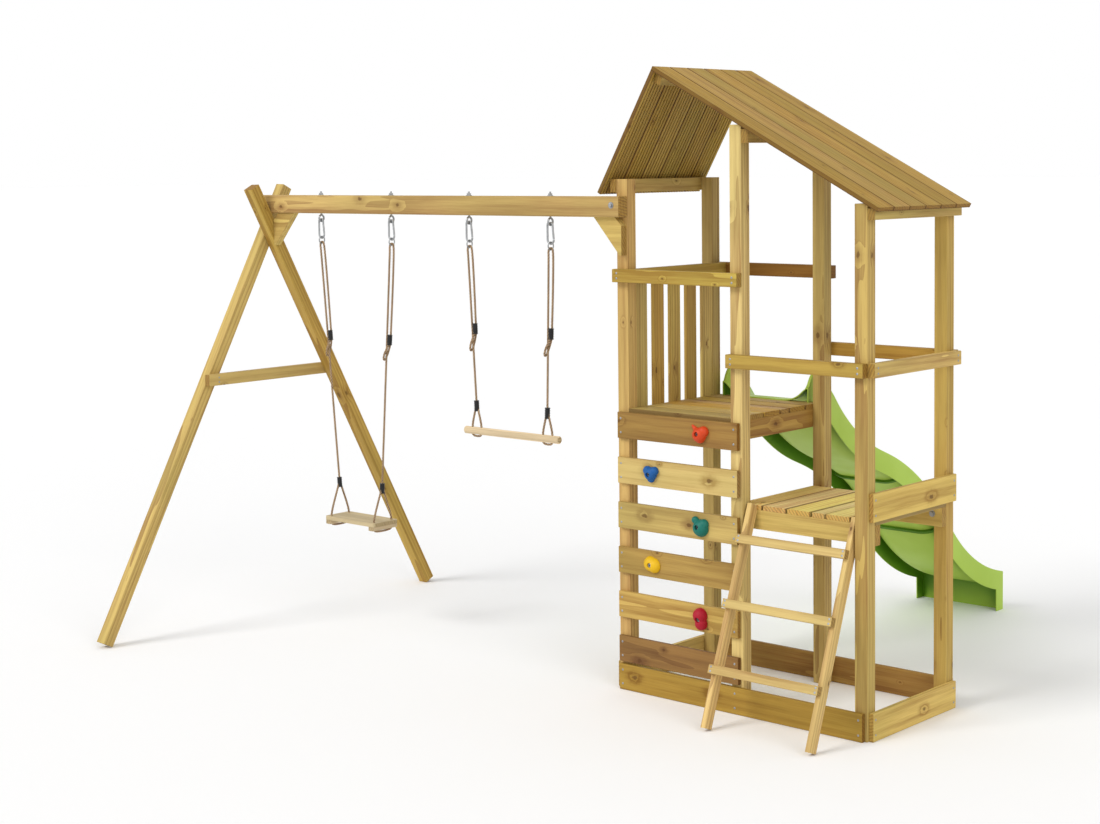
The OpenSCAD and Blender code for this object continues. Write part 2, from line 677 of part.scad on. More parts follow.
// Hangers
module eye_bolts() color(steel) placed()
    for (x = hanger_xs) translate([x, beam_mid, 0]) {
        translate([0, 0, eye_z]) rotate([0, 90, 0]) rotate_extrude($fn = round_fn)
            translate([eye_r, 0]) circle(d = wire_d, $fn = round_fn);
        translate([0, 0, eye_z + eye_r]) cylinder(
            h = beam_top + washer_h + nut_h + stud_over - eye_z - eye_r, d = wire_d, $fn = round_fn);
        translate([0, 0, beam_top]) cylinder(h = washer_h, d = washer_d, $fn = round_fn);
        translate([0, 0, beam_top + washer_h]) cylinder(h = nut_h, d = nut_d, $fn = 6);
    }

// A bent round wire in the plane of X and Z, from one angle on
module wire_turn(r, from, sweep)
    rotate([90, 0, 0]) rotate([0, 0, from]) rotate_extrude(angle = sweep, $fn = round_fn * 2)
        translate([r, 0]) circle(d = wire_d, $fn = round_fn);
// A straight wire from point to point
module wire_between(a, b) translate([a[0], 0, a[1]]) rotate([0, atan2((b - a)[0], (b - a)[1]), 0])
    cylinder(h = norm(b - a), d = wire_d, $fn = round_fn);
// The spine is straight, and the wide end lies below the eye
module carabiner() {
    translate([nape_left, 0, spine_z]) wire_turn(nape_r, 90, 90);
    translate([nape_left + nape_l, 0, spine_z]) wire_turn(nape_r, 0, 90);
    translate([0, 0, belly_z]) wire_turn(belly_r, 180, 180);
    wire_between([nape_left, hinge_z], [nape_left + nape_l, hinge_z]);
    wire_between([-belly_r, belly_z], [-belly_r, spine_z]);
    difference() {
        wire_between([gate_x, gate_z - gate_slot], [gate_x, spine_z]);
        for (y = [-wire_d - tongue_t / 2, tongue_t / 2]) translate([gate_x - wire_d, y, gate_z - wire_d])
            cube([2 * wire_d, wire_d, wire_d + tongue_rise]);
    }
    translate([gate_x, wire_d / 2 - turn_gap, gate_z]) rotate([90, 0, 0])
        cylinder(h = wire_d - 2 * turn_gap, d = gate_pin_d, $fn = round_fn);
}
// The gate turns on the pin and closes the wide end
module gate(x) color(steel) placed() translate([x + gate_x, beam_mid, gate_z])
    rotate([0, -gate_lean, 0]) difference() {
        translate([0, 0, -gate_len]) cylinder(
            h = gate_len + gate_pin_d, d = wire_d, $fn = round_fn);
        translate([-wire_d, -tongue_t / 2 - turn_gap, -gate_slot - wire_d / 4])
            cube([2 * wire_d, tongue_t + 2 * turn_gap, 2 * wire_d]);
        translate([0, wire_d, 0]) rotate([90, 0, 0])
            cylinder(h = 2 * wire_d, d = gate_pin_d + 2 * pin_gap, $fn = round_fn);
    }
module carabiners(xs) color(steel) placed() for (x = xs) translate([x, beam_mid, 0]) carabiner();
module rings(xs) color(steel) placed()
    for (x = xs) translate([x, beam_mid, ring_z]) rotate([0, 90, 0]) rotate_extrude($fn = round_fn * 2)
        translate([ring_r, 0]) circle(d = ring_wire, $fn = round_fn);
seat_xs = [hanger_xs[0], hanger_xs[1]];
trapeze_xs = [hanger_xs[2], hanger_xs[3]];
module seat_carabiners() carabiners(seat_xs);
module trapeze_carabiners() carabiners(trapeze_xs);
module seat_rings() rings(seat_xs);
module trapeze_rings() rings(trapeze_xs);
module seat_gate_left() gate(seat_xs[0]);
module seat_gate_right() gate(seat_xs[1]);
module trapeze_gate_left() gate(trapeze_xs[0]);
module trapeze_gate_right() gate(trapeze_xs[1]);

// Seat and trapeze bar
module seat_board() color(pale_wood) placed() translate([-seat_reach, beam_mid, seat_top - seat_t])
    difference() {
        translate([-seat_w / 2, -seat_d / 2, 0]) linear_extrude(seat_t) eased(seat_w, seat_d, seat_corner);
        for (x = [-seat_hole_x, seat_hole_x], y = [-seat_hole_y, seat_hole_y])
            translate([x, y, -over])
                cylinder(h = seat_t + 2 * over, d = rope_d + hole_play, $fn = round_fn);
    }
module seat_battens() color(pale_wood) placed()
    translate([-seat_reach, beam_mid, seat_top - seat_t - batten_t])
        for (x = [-seat_hole_x, seat_hole_x]) difference() {
            translate([x - batten_w / 2, -seat_d / 2 + edge_r, 0])
                bar_y(seat_d - 2 * edge_r, batten_w, batten_t);
            for (y = [-seat_hole_y, seat_hole_y]) translate([x, y, -over])
                cylinder(h = batten_t + 2 * over, d = rope_d + hole_play, $fn = round_fn);
        }
module trapeze_bar() color(pale_wood) placed() translate([-trapeze_reach, beam_mid, bar_z])
    difference() {
        translate([-bar_l / 2, 0, 0]) rotate([0, 90, 0]) rotate_extrude($fn = round_fn * 2) polygon([
            [0, 0], [bar_dia / 2 - bar_chamfer, 0], [bar_dia / 2, bar_chamfer],
            [bar_dia / 2, bar_l - bar_chamfer], [bar_dia / 2 - bar_chamfer, bar_l], [0, bar_l],
        ]);
        for (s = [-1, 1], e = [-1, 1]) translate([s * bar_hang + e * bar_hole, 0, -bar_dia])
            cylinder(h = 2 * bar_dia, d = rope_d + hole_play, $fn = round_fn);
    }

// Ropes. A point [down, across, back] lies on the line from the ring to the lower sleeve.
function rope_point(top, low, p) =
    let (d = (low - top) / norm(low - top))
    [top[0] + p[0] * d[0] - p[1] * d[1], beam_mid + p[2], top[1] + p[0] * d[1] + p[1] * d[0]];
function main_route(top, low, high_z) =
    let (down = (top[1] - high_z) * norm(low - top) / (top[1] - low[1]))
    concat(
        [rope_point(top, low, [norm(low - top), 0, 0])],
        [for (p = turn_points) rope_point(top, low, p)],
        [for (p = eye_points) rope_point(top, low, [p[0] + down, p[1], p[2]])]
    );
function seat_strand(x, z) =
    let (under = seat_top - seat_t - batten_t - under_run)
    [
        [x, beam_mid - strand_in, z], [x, beam_mid - seat_hole_y, seat_top + rope_bend],
        [x, beam_mid - seat_hole_y, under + rope_bend],
        [x, beam_mid - seat_hole_y + rope_bend, under],
        [x, beam_mid + seat_hole_y - rope_bend, under],
        [x, beam_mid + seat_hole_y, under + rope_bend],
        [x, beam_mid + seat_hole_y, seat_top + rope_bend], [x, beam_mid + strand_in, z],
    ];
function bar_strand(x, z) =
    let (under = bar_z - bar_dia / 2 - under_run)
    [
        [x - strand_in, beam_mid, z], [x - bar_hole, beam_mid, bar_z + bar_dia / 2 + rope_bend],
        [x - bar_hole, beam_mid, under + rope_bend], [x - bar_hole + rope_bend, beam_mid, under],
        [x + bar_hole - rope_bend, beam_mid, under], [x + bar_hole, beam_mid, under + rope_bend],
        [x + bar_hole, beam_mid, bar_z + bar_dia / 2 + rope_bend], [x + strand_in, beam_mid, z],
    ];
function unit(v) = v / norm(v);
function way(p, i) = unit(p[min(i + 1, len(p) - 1)] - p[max(i - 1, 0)]);
// A direction across the way, carried on from ring to ring so that the tube does not twist
function across(p, i) =
    i == 0 ? unit(cross(way(p, 0), [0.3, 1, 0.2]))
    : let (t = way(p, i), a = across(p, i - 1)) unit(a - (a * t) * t);
module tube(p) {
    n = len(p);
    k = tube_fn;
    points = [for (i = [0:n - 1]) let (t = way(p, i), a = across(p, i), b = cross(t, a))
        for (j = [0:k - 1]) p[i] + rope_d / 2 * (cos(360 * j / k) * a + sin(360 * j / k) * b)];
    sides = [for (i = [0:n - 2], j = [0:k - 1])
        [i * k + j, i * k + (j + 1) % k, (i + 1) * k + (j + 1) % k, (i + 1) * k + j]];
    ends = [[for (j = [k - 1:-1:0]) j], [for (j = [0:k - 1]) (n - 1) * k + j]];
    polyhedron(points, concat(sides, ends), convexity = 6);
}
seat_hang_xs = [-seat_reach - seat_hole_x, -seat_reach + seat_hole_x];
bar_hang_xs = [-trapeze_reach - bar_hang, -trapeze_reach + bar_hang];
module seat_ropes() color(rope_brown) placed() for (i = [0, 1]) {
    tube(main_route([seat_xs[i], loop_z], [seat_hang_xs[i], seat_low_sleeve], seat_high_sleeve));
    tube(seat_strand(seat_hang_xs[i], seat_low_sleeve - strand_in));
}
module trapeze_ropes() color(rope_brown) placed() for (i = [0, 1]) {
    tube(main_route([trapeze_xs[i], loop_z], [bar_hang_xs[i], bar_low_sleeve], bar_high_sleeve));
    tube(bar_strand(bar_hang_xs[i], bar_low_sleeve - strand_in));
}
module sleeve() {
    r = sleeve_d / 2;
    steps = 4;
    step = sleeve_l / (2 * steps + 1);
    translate([0, 0, -sleeve_l / 2]) rotate_extrude($fn = round_fn) polygon(concat(
        [[0, 0]],
        [for (i = [0:2 * steps], e = [0, 1]) [r - (i % 2 == 1 ? sleeve_groove : 0), (i + e) * step]],
        [[0, sleeve_l]]
    ));
}
module sleeves(tops, lows, low_z, high_z) color(black) placed() for (i = [0, 1]) {
    top = [tops[i], loop_z];
    low = [lows[i], low_z];
    d = low - top;
    down = (loop_z - high_z) * norm(d) / (loop_z - low_z);
    for (p = [[norm(d), 0, 0], [down, eye_points[0][1], 0]])
        translate(rope_point(top, low, p)) rotate([0, atan2(-d[0], -d[1]), 0]) sleeve();
}
module seat_sleeves() sleeves(seat_xs, seat_hang_xs, seat_low_sleeve, seat_high_sleeve);
module trapeze_sleeves() sleeves(trapeze_xs, bar_hang_xs, bar_low_sleeve, bar_high_sleeve);

front_left_post();
front_middle_post();
front_right_post();
back_left_post();
back_middle_post();
back_right_post();
base_boards_long();
base_boards_short();
climbing_board_1();
climbing_board_2();
climbing_board_3();
climbing_board_4();
climbing_board_5();
climbing_board_6();
climbing_hold_1();
climbing_hold_2();
climbing_hold_3();
climbing_hold_4();
climbing_hold_5();
upper_deck_joists();
upper_deck_planks();
lower_deck_joists();
lower_deck_planks();
deck_side_board();
upper_rail_front();
upper_rail_left();
upper_rail_back();
balustrade_slats();
lower_rail_front();
lower_rail_right();
lower_rail_back();
roof_boards_left();
roof_boards_right();
roof_purlins();
ladder_stringers();
ladder_rungs();
slide_bed();
slide_side_left();
slide_side_right();
swing_beam();
swing_leg_front();
swing_leg_back();
swing_leg_brace();
beam_brackets();
eye_bolts();
seat_board();
seat_battens();
seat_ropes();
seat_sleeves();
seat_carabiners();
seat_rings();
trapeze_bar();
trapeze_ropes();
trapeze_sleeves();
trapeze_carabiners();
trapeze_rings();
seat_gate_left();
seat_gate_right();
trapeze_gate_left();
trapeze_gate_right();
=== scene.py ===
"""Looks of the wooden climbing frame, laid out as an add-on and run as a script."""

import math

import bpy
from mathutils import Matrix, Vector


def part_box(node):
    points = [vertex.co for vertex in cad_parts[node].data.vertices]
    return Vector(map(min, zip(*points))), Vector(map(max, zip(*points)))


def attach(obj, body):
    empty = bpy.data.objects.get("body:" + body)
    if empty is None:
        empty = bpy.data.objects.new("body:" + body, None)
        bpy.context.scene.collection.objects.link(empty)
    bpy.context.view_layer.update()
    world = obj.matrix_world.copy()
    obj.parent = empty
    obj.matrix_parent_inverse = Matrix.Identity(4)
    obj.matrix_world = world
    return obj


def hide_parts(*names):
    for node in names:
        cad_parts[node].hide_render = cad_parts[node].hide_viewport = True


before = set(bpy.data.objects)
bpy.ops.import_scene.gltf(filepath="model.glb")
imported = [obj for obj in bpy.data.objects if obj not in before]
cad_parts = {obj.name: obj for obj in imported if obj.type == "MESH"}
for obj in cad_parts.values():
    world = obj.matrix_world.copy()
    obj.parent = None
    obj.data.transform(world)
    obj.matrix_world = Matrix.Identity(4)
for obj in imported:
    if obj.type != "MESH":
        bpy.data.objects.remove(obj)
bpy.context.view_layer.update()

bl_info = {
    "name": "Climbing frame looks",
    "version": (1, 0, 0),
    "blender": (4, 5, 0),
    "location": "View3D > Sidebar > Climbing frame",
    "description": "Timber, slide, ropes, holds and fasteners of a garden climbing frame",
    "category": "Object",
}

# The tower's own corner in the part's frame, in metres
CORNER = Vector((0.521765, -0.643825, 0.0))
BEAM_Y = -29.0


def spot(x, y, z):
    """A place measured in millimetres from the tower's front left corner."""
    return CORNER + Vector((x, y, z)) / 1000.0


# Settings
def colour_setting(what, rgb):
    """A colour that the panel shows."""
    return bpy.props.FloatVectorProperty(
        name=what.capitalize(), description="Colour of the " + what, subtype="COLOR", size=4, min=0, max=1,
        default=(*rgb, 1))


class TimberSettings(bpy.types.PropertyGroup):
    """Colours of the timber."""

    light: colour_setting("early wood", (0.5, 0.345, 0.072))
    dark: colour_setting("late wood", (0.26, 0.14, 0.022))
    knot: colour_setting("knots", (0.09, 0.035, 0.008))
    olive: colour_setting("treatment", (0.3, 0.235, 0.04))
    pale: colour_setting("pale pine", (0.72, 0.56, 0.29))


class FinishSettings(bpy.types.PropertyGroup):
    """Colours of the plastic, rope and steel."""

    slide: colour_setting("slide", (0.42, 0.6, 0.075))
    # Painted shade: the colour that the slide takes in its hollows and on its ribs, where shade falls
    slide_shade: colour_setting("painted shade in the slide's hollows", (0.09, 0.24, 0.006))
    orange: colour_setting("first hold", (0.62, 0.055, 0.008))
    blue: colour_setting("second hold", (0.006, 0.1, 0.34))
    teal: colour_setting("third hold", (0.005, 0.15, 0.115))
    yellow: colour_setting("fourth hold", (0.78, 0.47, 0.006))
    crimson: colour_setting("fifth hold", (0.42, 0.004, 0.022))
    rope: colour_setting("rope", (0.5, 0.34, 0.2))
    steel: colour_setting("steel", (0.4, 0.41, 0.42))
    sleeve: colour_setting("sleeves", (0.012, 0.012, 0.013))


class RopeSettings(bpy.types.PropertyGroup):
    """Sizes of the ropes and the screws."""

    rope: bpy.props.FloatProperty(
        name="Rope diameter", description="Diameter of the rope", unit="LENGTH",
        default=0.01, min=0.004, max=0.02)
    lay: bpy.props.FloatProperty(
        name="Lay", description="Length in which a strand goes once round", unit="LENGTH",
        default=0.042, min=0.01, max=0.1)
    screw: bpy.props.FloatProperty(
        name="Screw head", description="Diameter of a wood screw's head", unit="LENGTH",
        default=0.0095, min=0.004, max=0.02)


# Shader helpers
class Nodes:
    """Adds nodes to one tree and links them."""

    def __init__(self, tree):
        self.tree = tree

    def feed(self, socket, value):
        """Gives a socket a link or a plain value."""
        if isinstance(value, bpy.types.NodeSocket):
            self.tree.links.new(value, socket)
        else:
            socket.default_value = value

    def add(self, kind, inputs=None, **settings):
        node = self.tree.nodes.new(kind if kind.startswith("NodeGroup") else "ShaderNode" + kind)
        for key, value in settings.items():
            setattr(node, key, value)
        for key, value in (inputs or {}).items():
            self.feed(node.inputs[key], value)
        return node

    def math(self, operation, a, b=0.0, clamp=False):
        return self.add("Math", {0: a, 1: b}, operation=operation, use_clamp=clamp).outputs[0]

    def times(self, a, b):
        return self.math("MULTIPLY", a, b)

    def plus(self, a, b):
        return self.math("ADD", a, b)

    def minus(self, a, b):
        return self.math("SUBTRACT", a, b)

    def xyz(self, vector):
        return self.add("SeparateXYZ", {0: vector}).outputs

    def rgb(self, colour):
        return self.add("SeparateColor", {0: colour}).outputs

    def joined(self, **parts):
        """A vector out of its parts x, y and z."""
        return self.add("CombineXYZ", {"xyz".index(k): v for k, v in parts.items()}).outputs[0]

    def ramp(self, value, low, high, to_low=0.0, to_high=1.0):
        return self.add("MapRange", {
            "Value": value, "From Min": low, "From Max": high, "To Min": to_low, "To Max": to_high,
        }, interpolation_type="SMOOTHSTEP").outputs["Result"]

    def mix(self, factor, a, b):
        return self.add("Mix", {0: factor, 6: a, 7: b}, data_type="RGBA", blend_type="MIX",
                        clamp_factor=True).outputs[2]

    def stretch(self, vector, scale):
        return self.add("VectorMath", {0: vector, 1: scale}, operation="MULTIPLY").outputs[0]

    def noise(self, vector, scale, detail=2.0, rough=0.5):
        return self.add("TexNoise", {
            "Vector": vector, "Scale": scale, "Detail": detail, "Roughness": rough}).outputs[0]


def new_group(name, inputs):
    """A shader node group with named inputs, which puts out a colour, a roughness and a height."""
    tree = bpy.data.node_groups.new(name, "ShaderNodeTree")
    for label, default in inputs.items():
        kind = "Float" if isinstance(default, float) else "Color" if default else "Vector"
        socket = tree.interface.new_socket(label, in_out="INPUT", socket_type="NodeSocket" + kind)
        if default is not None:
            socket.default_value = default
    for label, kind in (("Color", "Color"), ("Roughness", "Float"), ("Height", "Float")):
        tree.interface.new_socket(label, in_out="OUTPUT", socket_type="NodeSocket" + kind)
    n = Nodes(tree)
    return n, n.add("NodeGroupInput").outputs, n.add("NodeGroupOutput").inputs


def link(n, socket, to):
    n.tree.links.new(socket, to)


def grain_group():
    """Softwood with its grain along X, one board after the other along Y."""
    n, given, out = new_group("Softwood", {
        "Vector": None, "Early Wood": (0.5, 0.35, 0.15, 1), "Late Wood": (0.3, 0.16, 0.05, 1),
        "Knots": (0.1, 0.05, 0.02, 1), "Treatment": (0.3, 0.26, 0.09, 1), "Board Pitch": 100.0,
        "Board Start": 0.0, "Seed": 0.0, "Knot Amount": 0.5, "Tint": 0.3, "Board Gap": 0.0, "Normal": None,
        "Filler End": 1000.0, "Filler Shift": 0.0, "Underside": -1000.0, "Variety": 1.0})
    place = n.xyz(given["Vector"])
    # What lies past a narrow board moves on, so that the boards after it are counted evenly
    past = n.minus(place[1], given["Board Start"])
    past = n.plus(past, n.times(n.math("GREATER_THAN", past, given["Filler End"]), given["Filler Shift"]))
    across = n.math("DIVIDE", past, given["Board Pitch"])
    board = n.math("FLOOR", across)
    chance = n.add("TexWhiteNoise", {
        "W": n.plus(n.times(board, 1.37), given["Seed"])}, noise_dimensions="1D")
    luck = n.rgb(chance.outputs["Color"])
    # Each board is cut from another place of the log
    moved = n.joined(x=n.plus(place[0], n.times(luck[0], 37.0)), y=n.plus(place[1], n.times(luck[1], 23.0)),
                     z=n.plus(place[2], n.times(luck[2], 17.0)))
    # Knots go through from face to face and bend the rings round them
    near_xyz = n.xyz(moved)
    flat = n.joined(x=n.times(near_xyz[0], 3.6),
                    y=n.times(n.plus(near_xyz[1], n.times(near_xyz[2], 0.8)), 7.5))
    cells = n.add("TexVoronoi", {"Vector": flat, "Scale": 1.0, "Randomness": 1.0},
                  voronoi_dimensions="2D", feature="F1")
    pick = n.rgb(cells.outputs["Color"])
    there = n.math("LESS_THAN", pick[0], given["Knot Amount"])
    width = n.ramp(pick[1], 0.0, 1.0, 0.018, 0.06)
    near = n.math("DIVIDE", cells.outputs["Distance"], width)
    wobble = n.noise(moved, 60.0, 2.0)
    near = n.plus(near, n.ramp(wobble, 0.3, 0.7, -0.25, 0.25))
    knot = n.times(n.ramp(near, 0.5, 1.15, 1.0, 0.0), there)
    halo = n.times(n.ramp(near, 0.9, 4.5, 1.0, 0.0), there)
    bent = n.add("VectorMath", {
        0: n.stretch(moved, (0.075, 1.0, 0.8)),
        1: n.joined(y=n.times(halo, 0.014))},
        operation="ADD").outputs[0]
    rings = n.add("TexWave", {
        "Vector": bent, "Scale": 17.0, "Distortion": 5.5, "Detail": 2.0, "Detail Scale": 0.9,
        "Detail Roughness": 0.5}, wave_type="BANDS", bands_direction="Y", wave_profile="SAW").outputs["Fac"]
    fibre = n.noise(n.stretch(moved, (9.0, 330.0, 330.0)), 1.0, 3.0, 0.6)
    streak = n.noise(n.stretch(moved, (1.1, 38.0, 38.0)), 1.0, 3.0, 0.55)
    cloud = n.noise(n.stretch(moved, (1.6, 5.0, 5.0)), 1.0, 2.0)
    depth = n.plus(n.times(n.math("POWER", rings, 2.0), 0.65),
                   n.plus(n.ramp(streak, 0.38, 0.7, 0.0, 0.5), n.ramp(fibre, 0.3, 0.75, -0.06, 0.2)))
    depth = n.math("ADD", depth, n.times(halo, 0.3), clamp=True)
    colour = n.mix(depth, given["Early Wood"], given["Late Wood"])
    green = n.times(n.ramp(cloud, 0.35, 0.68), given["Tint"])
    colour = n.mix(green, colour, given["Treatment"])
    hue = n.add("HueSaturation", {
        "Fac": given["Variety"], "Hue": n.ramp(luck[1], 0.0, 1.0, 0.49, 0.508),
        "Saturation": n.ramp(luck[2], 0.0, 1.0, 0.86, 1.0),
        "Value": n.ramp(luck[0], 0.0, 1.0, 0.86, 1.12), "Color": colour}).outputs[0]
    hue = n.mix(n.times(knot, 0.7), hue, given["Knots"])
    # Sawn ends are darker and show the rings
    facing = n.xyz(given["Normal"])[0]
    growth = n.add("TexWave", {
        "Vector": n.stretch(moved, (0.0, 1.0, 1.0)), "Scale": 26.0, "Distortion": 3.0, "Detail": 2.0,
        "Detail Scale": 2.0}, wave_type="RINGS", rings_direction="X", wave_profile="SAW").outputs["Fac"]
    sawn = n.mix(n.ramp(growth, 0.2, 1.0, 0.1, 0.75), given["Late Wood"], given["Knots"])
    hue = n.mix(n.ramp(n.math("ABSOLUTE", facing), 0.8, 0.95, 0.0, 0.75), hue, sawn)
    # Grooves in the underside lie in the dark
    above = n.minus(place[2], given["Underside"])
    groove = n.times(n.ramp(above, 0.0004, 0.001), n.ramp(above, 0.0034, 0.0044, 1.0, 0.0))
    hue = n.mix(n.times(groove, 0.6), hue, given["Knots"])
    # Painted shade: a board darkens towards the gaps beside it, where its edge falls into shadow
    inside = n.times(n.math("FRACT", across), given["Board Pitch"])
    far = n.minus(n.minus(given["Board Pitch"], given["Board Gap"]), inside)
    edge = n.times(n.ramp(n.math("MINIMUM", inside, far), 0.0, 0.005, 0.7, 0.0),
                  n.math("GREATER_THAN", given["Board Gap"], 0.0))
    hue = n.mix(edge, hue, given["Knots"])
    link(n, hue, out["Color"])
    link(n, n.ramp(fibre, 0.2, 0.8, 0.5, 0.72), out["Roughness"])
    height = n.plus(n.times(rings, 0.35), n.times(fibre, 0.65))
    link(n, n.minus(height, n.times(knot, 0.4)), out["Height"])
    return n.tree


def speckle_group():
    """Fine moulded texture, with a soft change of tone."""
    n, given, out = new_group("Moulded Texture", {
        "Vector": None, "Color": (0.5, 0.5, 0.5, 1), "Shade": 0.2, "Grain Scale": 900.0, "Roughness": 0.4})
    cloud = n.noise(given["Vector"], 5.0, 3.0)
    grain = n.noise(given["Vector"], given["Grain Scale"], 2.0)
    darker = n.add("HueSaturation", {"Value": 0.6, "Color": given["Color"]}).outputs[0]
    factor = n.times(n.plus(n.ramp(cloud, 0.3, 0.7), n.ramp(grain, 0.35, 0.7, 0.0, 0.5)), given["Shade"])
    link(n, n.mix(factor, given["Color"], darker), out["Color"])
    link(n, n.plus(given["Roughness"], n.ramp(cloud, 0.3, 0.7, -0.06, 0.1)), out["Roughness"])
    link(n, grain, out["Height"])
    return n.tree


def zinc_group():
    """Galvanised steel with its crystals and a few dull spots."""
    n, given, out = new_group("Galvanised", {"Vector": None, "Color": (0.6, 0.6, 0.6, 1)})
    cells = n.add("TexVoronoi", {"Vector": given["Vector"], "Scale": 260.0}, feature="F1")
    tone = n.rgb(cells.outputs["Color"])[0]
    dull = n.noise(given["Vector"], 90.0, 3.0)
    darker = n.add("HueSaturation", {"Value": 0.62, "Color": given["Color"]}).outputs[0]
    link(n, n.mix(n.plus(n.times(tone, 0.35), n.ramp(dull, 0.45, 0.75, 0.0, 0.5)),
                  given["Color"], darker), out["Color"])
    link(n, n.plus(n.ramp(dull, 0.3, 0.7, 0.3, 0.52), n.times(tone, 0.08)),
         out["Roughness"])
    link(n, n.noise(given["Vector"], 1400.0, 2.0), out["Height"])
    return n.tree


GROUPS = {}


def group(name):
    makers = {"Softwood": grain_group, "Moulded Texture": speckle_group, "Galvanised": zinc_group}
    if name not in GROUPS:
        GROUPS[name] = makers[name]()
    return GROUPS[name]


def start_material(name):
    """A material with a Principled shader and Object coordinates."""
    material = bpy.data.materials.new(name)
    material.use_nodes = True
    material.node_tree.nodes.clear()
    n = Nodes(material.node_tree)
    shader = n.add("BsdfPrincipled")
    output = n.add("OutputMaterial")
    link(n, shader.outputs[0], output.inputs[0])
    return material, n, shader, n.add("TexCoord").outputs["Object"]


def finish_from(n, shader, tree, inputs, bump, distance):
    """Places a group in a material and feeds the shader from it."""
    node = n.add("Group", inputs, node_tree=tree)
    link(n, node.outputs["Color"], shader.inputs["Base Color"])
    link(n, node.outputs["Roughness"], shader.inputs["Roughness"])
    raised = n.add("Bump", {
        "Strength": bump, "Distance": distance, "Height": node.outputs["Height"]})
    link(n, raised.outputs[0], shader.inputs["Normal"])


# Degrees by which the ladder leans
LADDER_LEAN = 20.72
# The turn that brings a board's grain to X, in degrees
ALONG = {
    "x": (0, 0, 0), "y": (0, 0, -90), "y_up": (0, 0, 90), "z": (0, 90, 0),
    "roof_left": (0, 59.6, 0), "roof_right": (0, -27.9, 0),
    "ladder": (LADDER_LEAN, 90, 0), "leg_front": (27.5, 90, 0), "leg_back": (-27.5, 90, 0),
}


def timber(name, along, seed, shade=(1, 1, 1), tint=0.35, knots=0.7, pale=False, **boards):
    """Softwood for one piece. shade multiplies its colours, boards are more inputs of the group."""
    s = bpy.context.scene.climbing_timber
    material, n, shader, place = start_material(name)
    turn = [math.radians(a) for a in ALONG[along]]
    turned = n.add("Mapping", {"Vector": place, "Rotation": turn}).outputs[0]
    normal = n.add("Mapping", {"Vector": place.node.outputs["Normal"], "Rotation": turn},
                   vector_type="VECTOR").outputs[0]

    def toned(colour, share=1.0):
        return tuple(min(0.95, c * m * share) for c, m in zip(colour[:3], shade)) + (1,)

    inputs = {
        "Vector": turned, "Normal": normal, "Early Wood": toned(s.pale if pale else s.light),
        "Late Wood": toned(s.pale, 0.62) if pale else toned(s.dark), "Knots": s.knot,
        "Treatment": toned(s.olive), "Board Pitch": 100.0, "Board Start": -50.0, "Seed": seed,
        "Knot Amount": knots, "Tint": 0.0 if pale else tint}
    inputs.update({key.replace("_", " ").title(): value for key, value in boards.items()})
    finish_from(n, shader, group("Softwood"), inputs, 0.35, 0.0012)
    shader.inputs["Specular IOR Level"].default_value = 0.2
    return material


# How far the painted shade in hollows is felt for, and how open a place is that has all or none of the
# painted shade
SHADE_REACH, SHADE_FULL, SHADE_NONE = 0.3, 0.48, 1.0


def moulded(name, colour, roughness, shade, grain, bump, shade_colour=None):
    """Moulded plastic. The last argument, when given, is the colour of the painted shade that darkens its
    hollows.
    """
    material, n, shader, place = start_material(name)
    # Painted shade: the piece's own ambient occlusion darkens its hollows toward the shade colour
    if shade_colour:
        open_to = n.add("AmbientOcclusion", {"Distance": SHADE_REACH},
                        samples=64, only_local=True).outputs["AO"]
        colour = n.mix(n.ramp(open_to, SHADE_FULL, SHADE_NONE), shade_colour, colour)
    finish_from(n, shader, group("Moulded Texture"), {
        "Vector": place, "Color": colour, "Shade": shade, "Grain Scale": grain,
        "Roughness": roughness}, bump, 0.0006)
    shader.inputs["Specular IOR Level"].default_value = 0.3
    return material


def galvanised(name):
    material, n, shader, place = start_material(name)
    finish_from(n, shader, group("Galvanised"), {
        "Vector": place, "Color": bpy.context.scene.climbing_finish.steel}, 0.08, 0.0004)
    shader.inputs["Metallic"].default_value = 1.0
    return material


def twisted(name):
    """Rope: the strand attribute is 1 on a strand's crown and 0 in the groove beside it."""
    material, n, shader, place = start_material(name)
    colour = bpy.context.scene.climbing_finish.rope
    crown = n.add("Attribute", attribute_name="strand").outputs["Fac"]
    thread = n.noise(place, 700.0, 3.0, 0.6)
    patch = n.noise(place, 60.0, 2.0)
    dark = tuple(0.13 * c for c in colour[:3]) + (1,)
    light = tuple(min(1, 1.35 * c) for c in colour[:3]) + (1,)
    tone = n.mix(n.ramp(patch, 0.35, 0.65), colour, light)
    tone = n.mix(n.ramp(thread, 0.3, 0.75, 0.0, 0.55), tone, dark)
    # Painted shade: the grooves between the strands darken toward the dark tone
    link(n, n.mix(n.ramp(crown, 0.35, 0.85), dark, tone), shader.inputs["Base Color"])
    link(n, n.ramp(thread, 0.3, 0.7, 0.75, 0.95), shader.inputs["Roughness"])
    raised = n.add("Bump", {"Strength": 0.4, "Distance": 0.0006, "Height": thread})
    link(n, raised.outputs[0], shader.inputs["Normal"])
    shader.inputs["Specular IOR Level"].default_value = 0.15
    return material


# Mesh helpers
def dress(name, material):
    """Gives a CAD node its finish."""
    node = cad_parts[name]
    node.data.materials.clear()
    node.data.materials.append(material)


def add_object(name, data):
    obj = bpy.data.objects.new(name, data)
    bpy.context.scene.collection.objects.link(obj)
    return obj


def edit_mode(on):
    bpy.ops.object.mode_set(mode="EDIT" if on else "OBJECT")


def clear_selection():
    if bpy.context.object and bpy.context.object.mode != "OBJECT":
        edit_mode(False)
    bpy.ops.object.select_all(action="DESELECT")


def only(obj):
    clear_selection()
    obj.select_set(True)
    bpy.context.view_layer.objects.active = obj


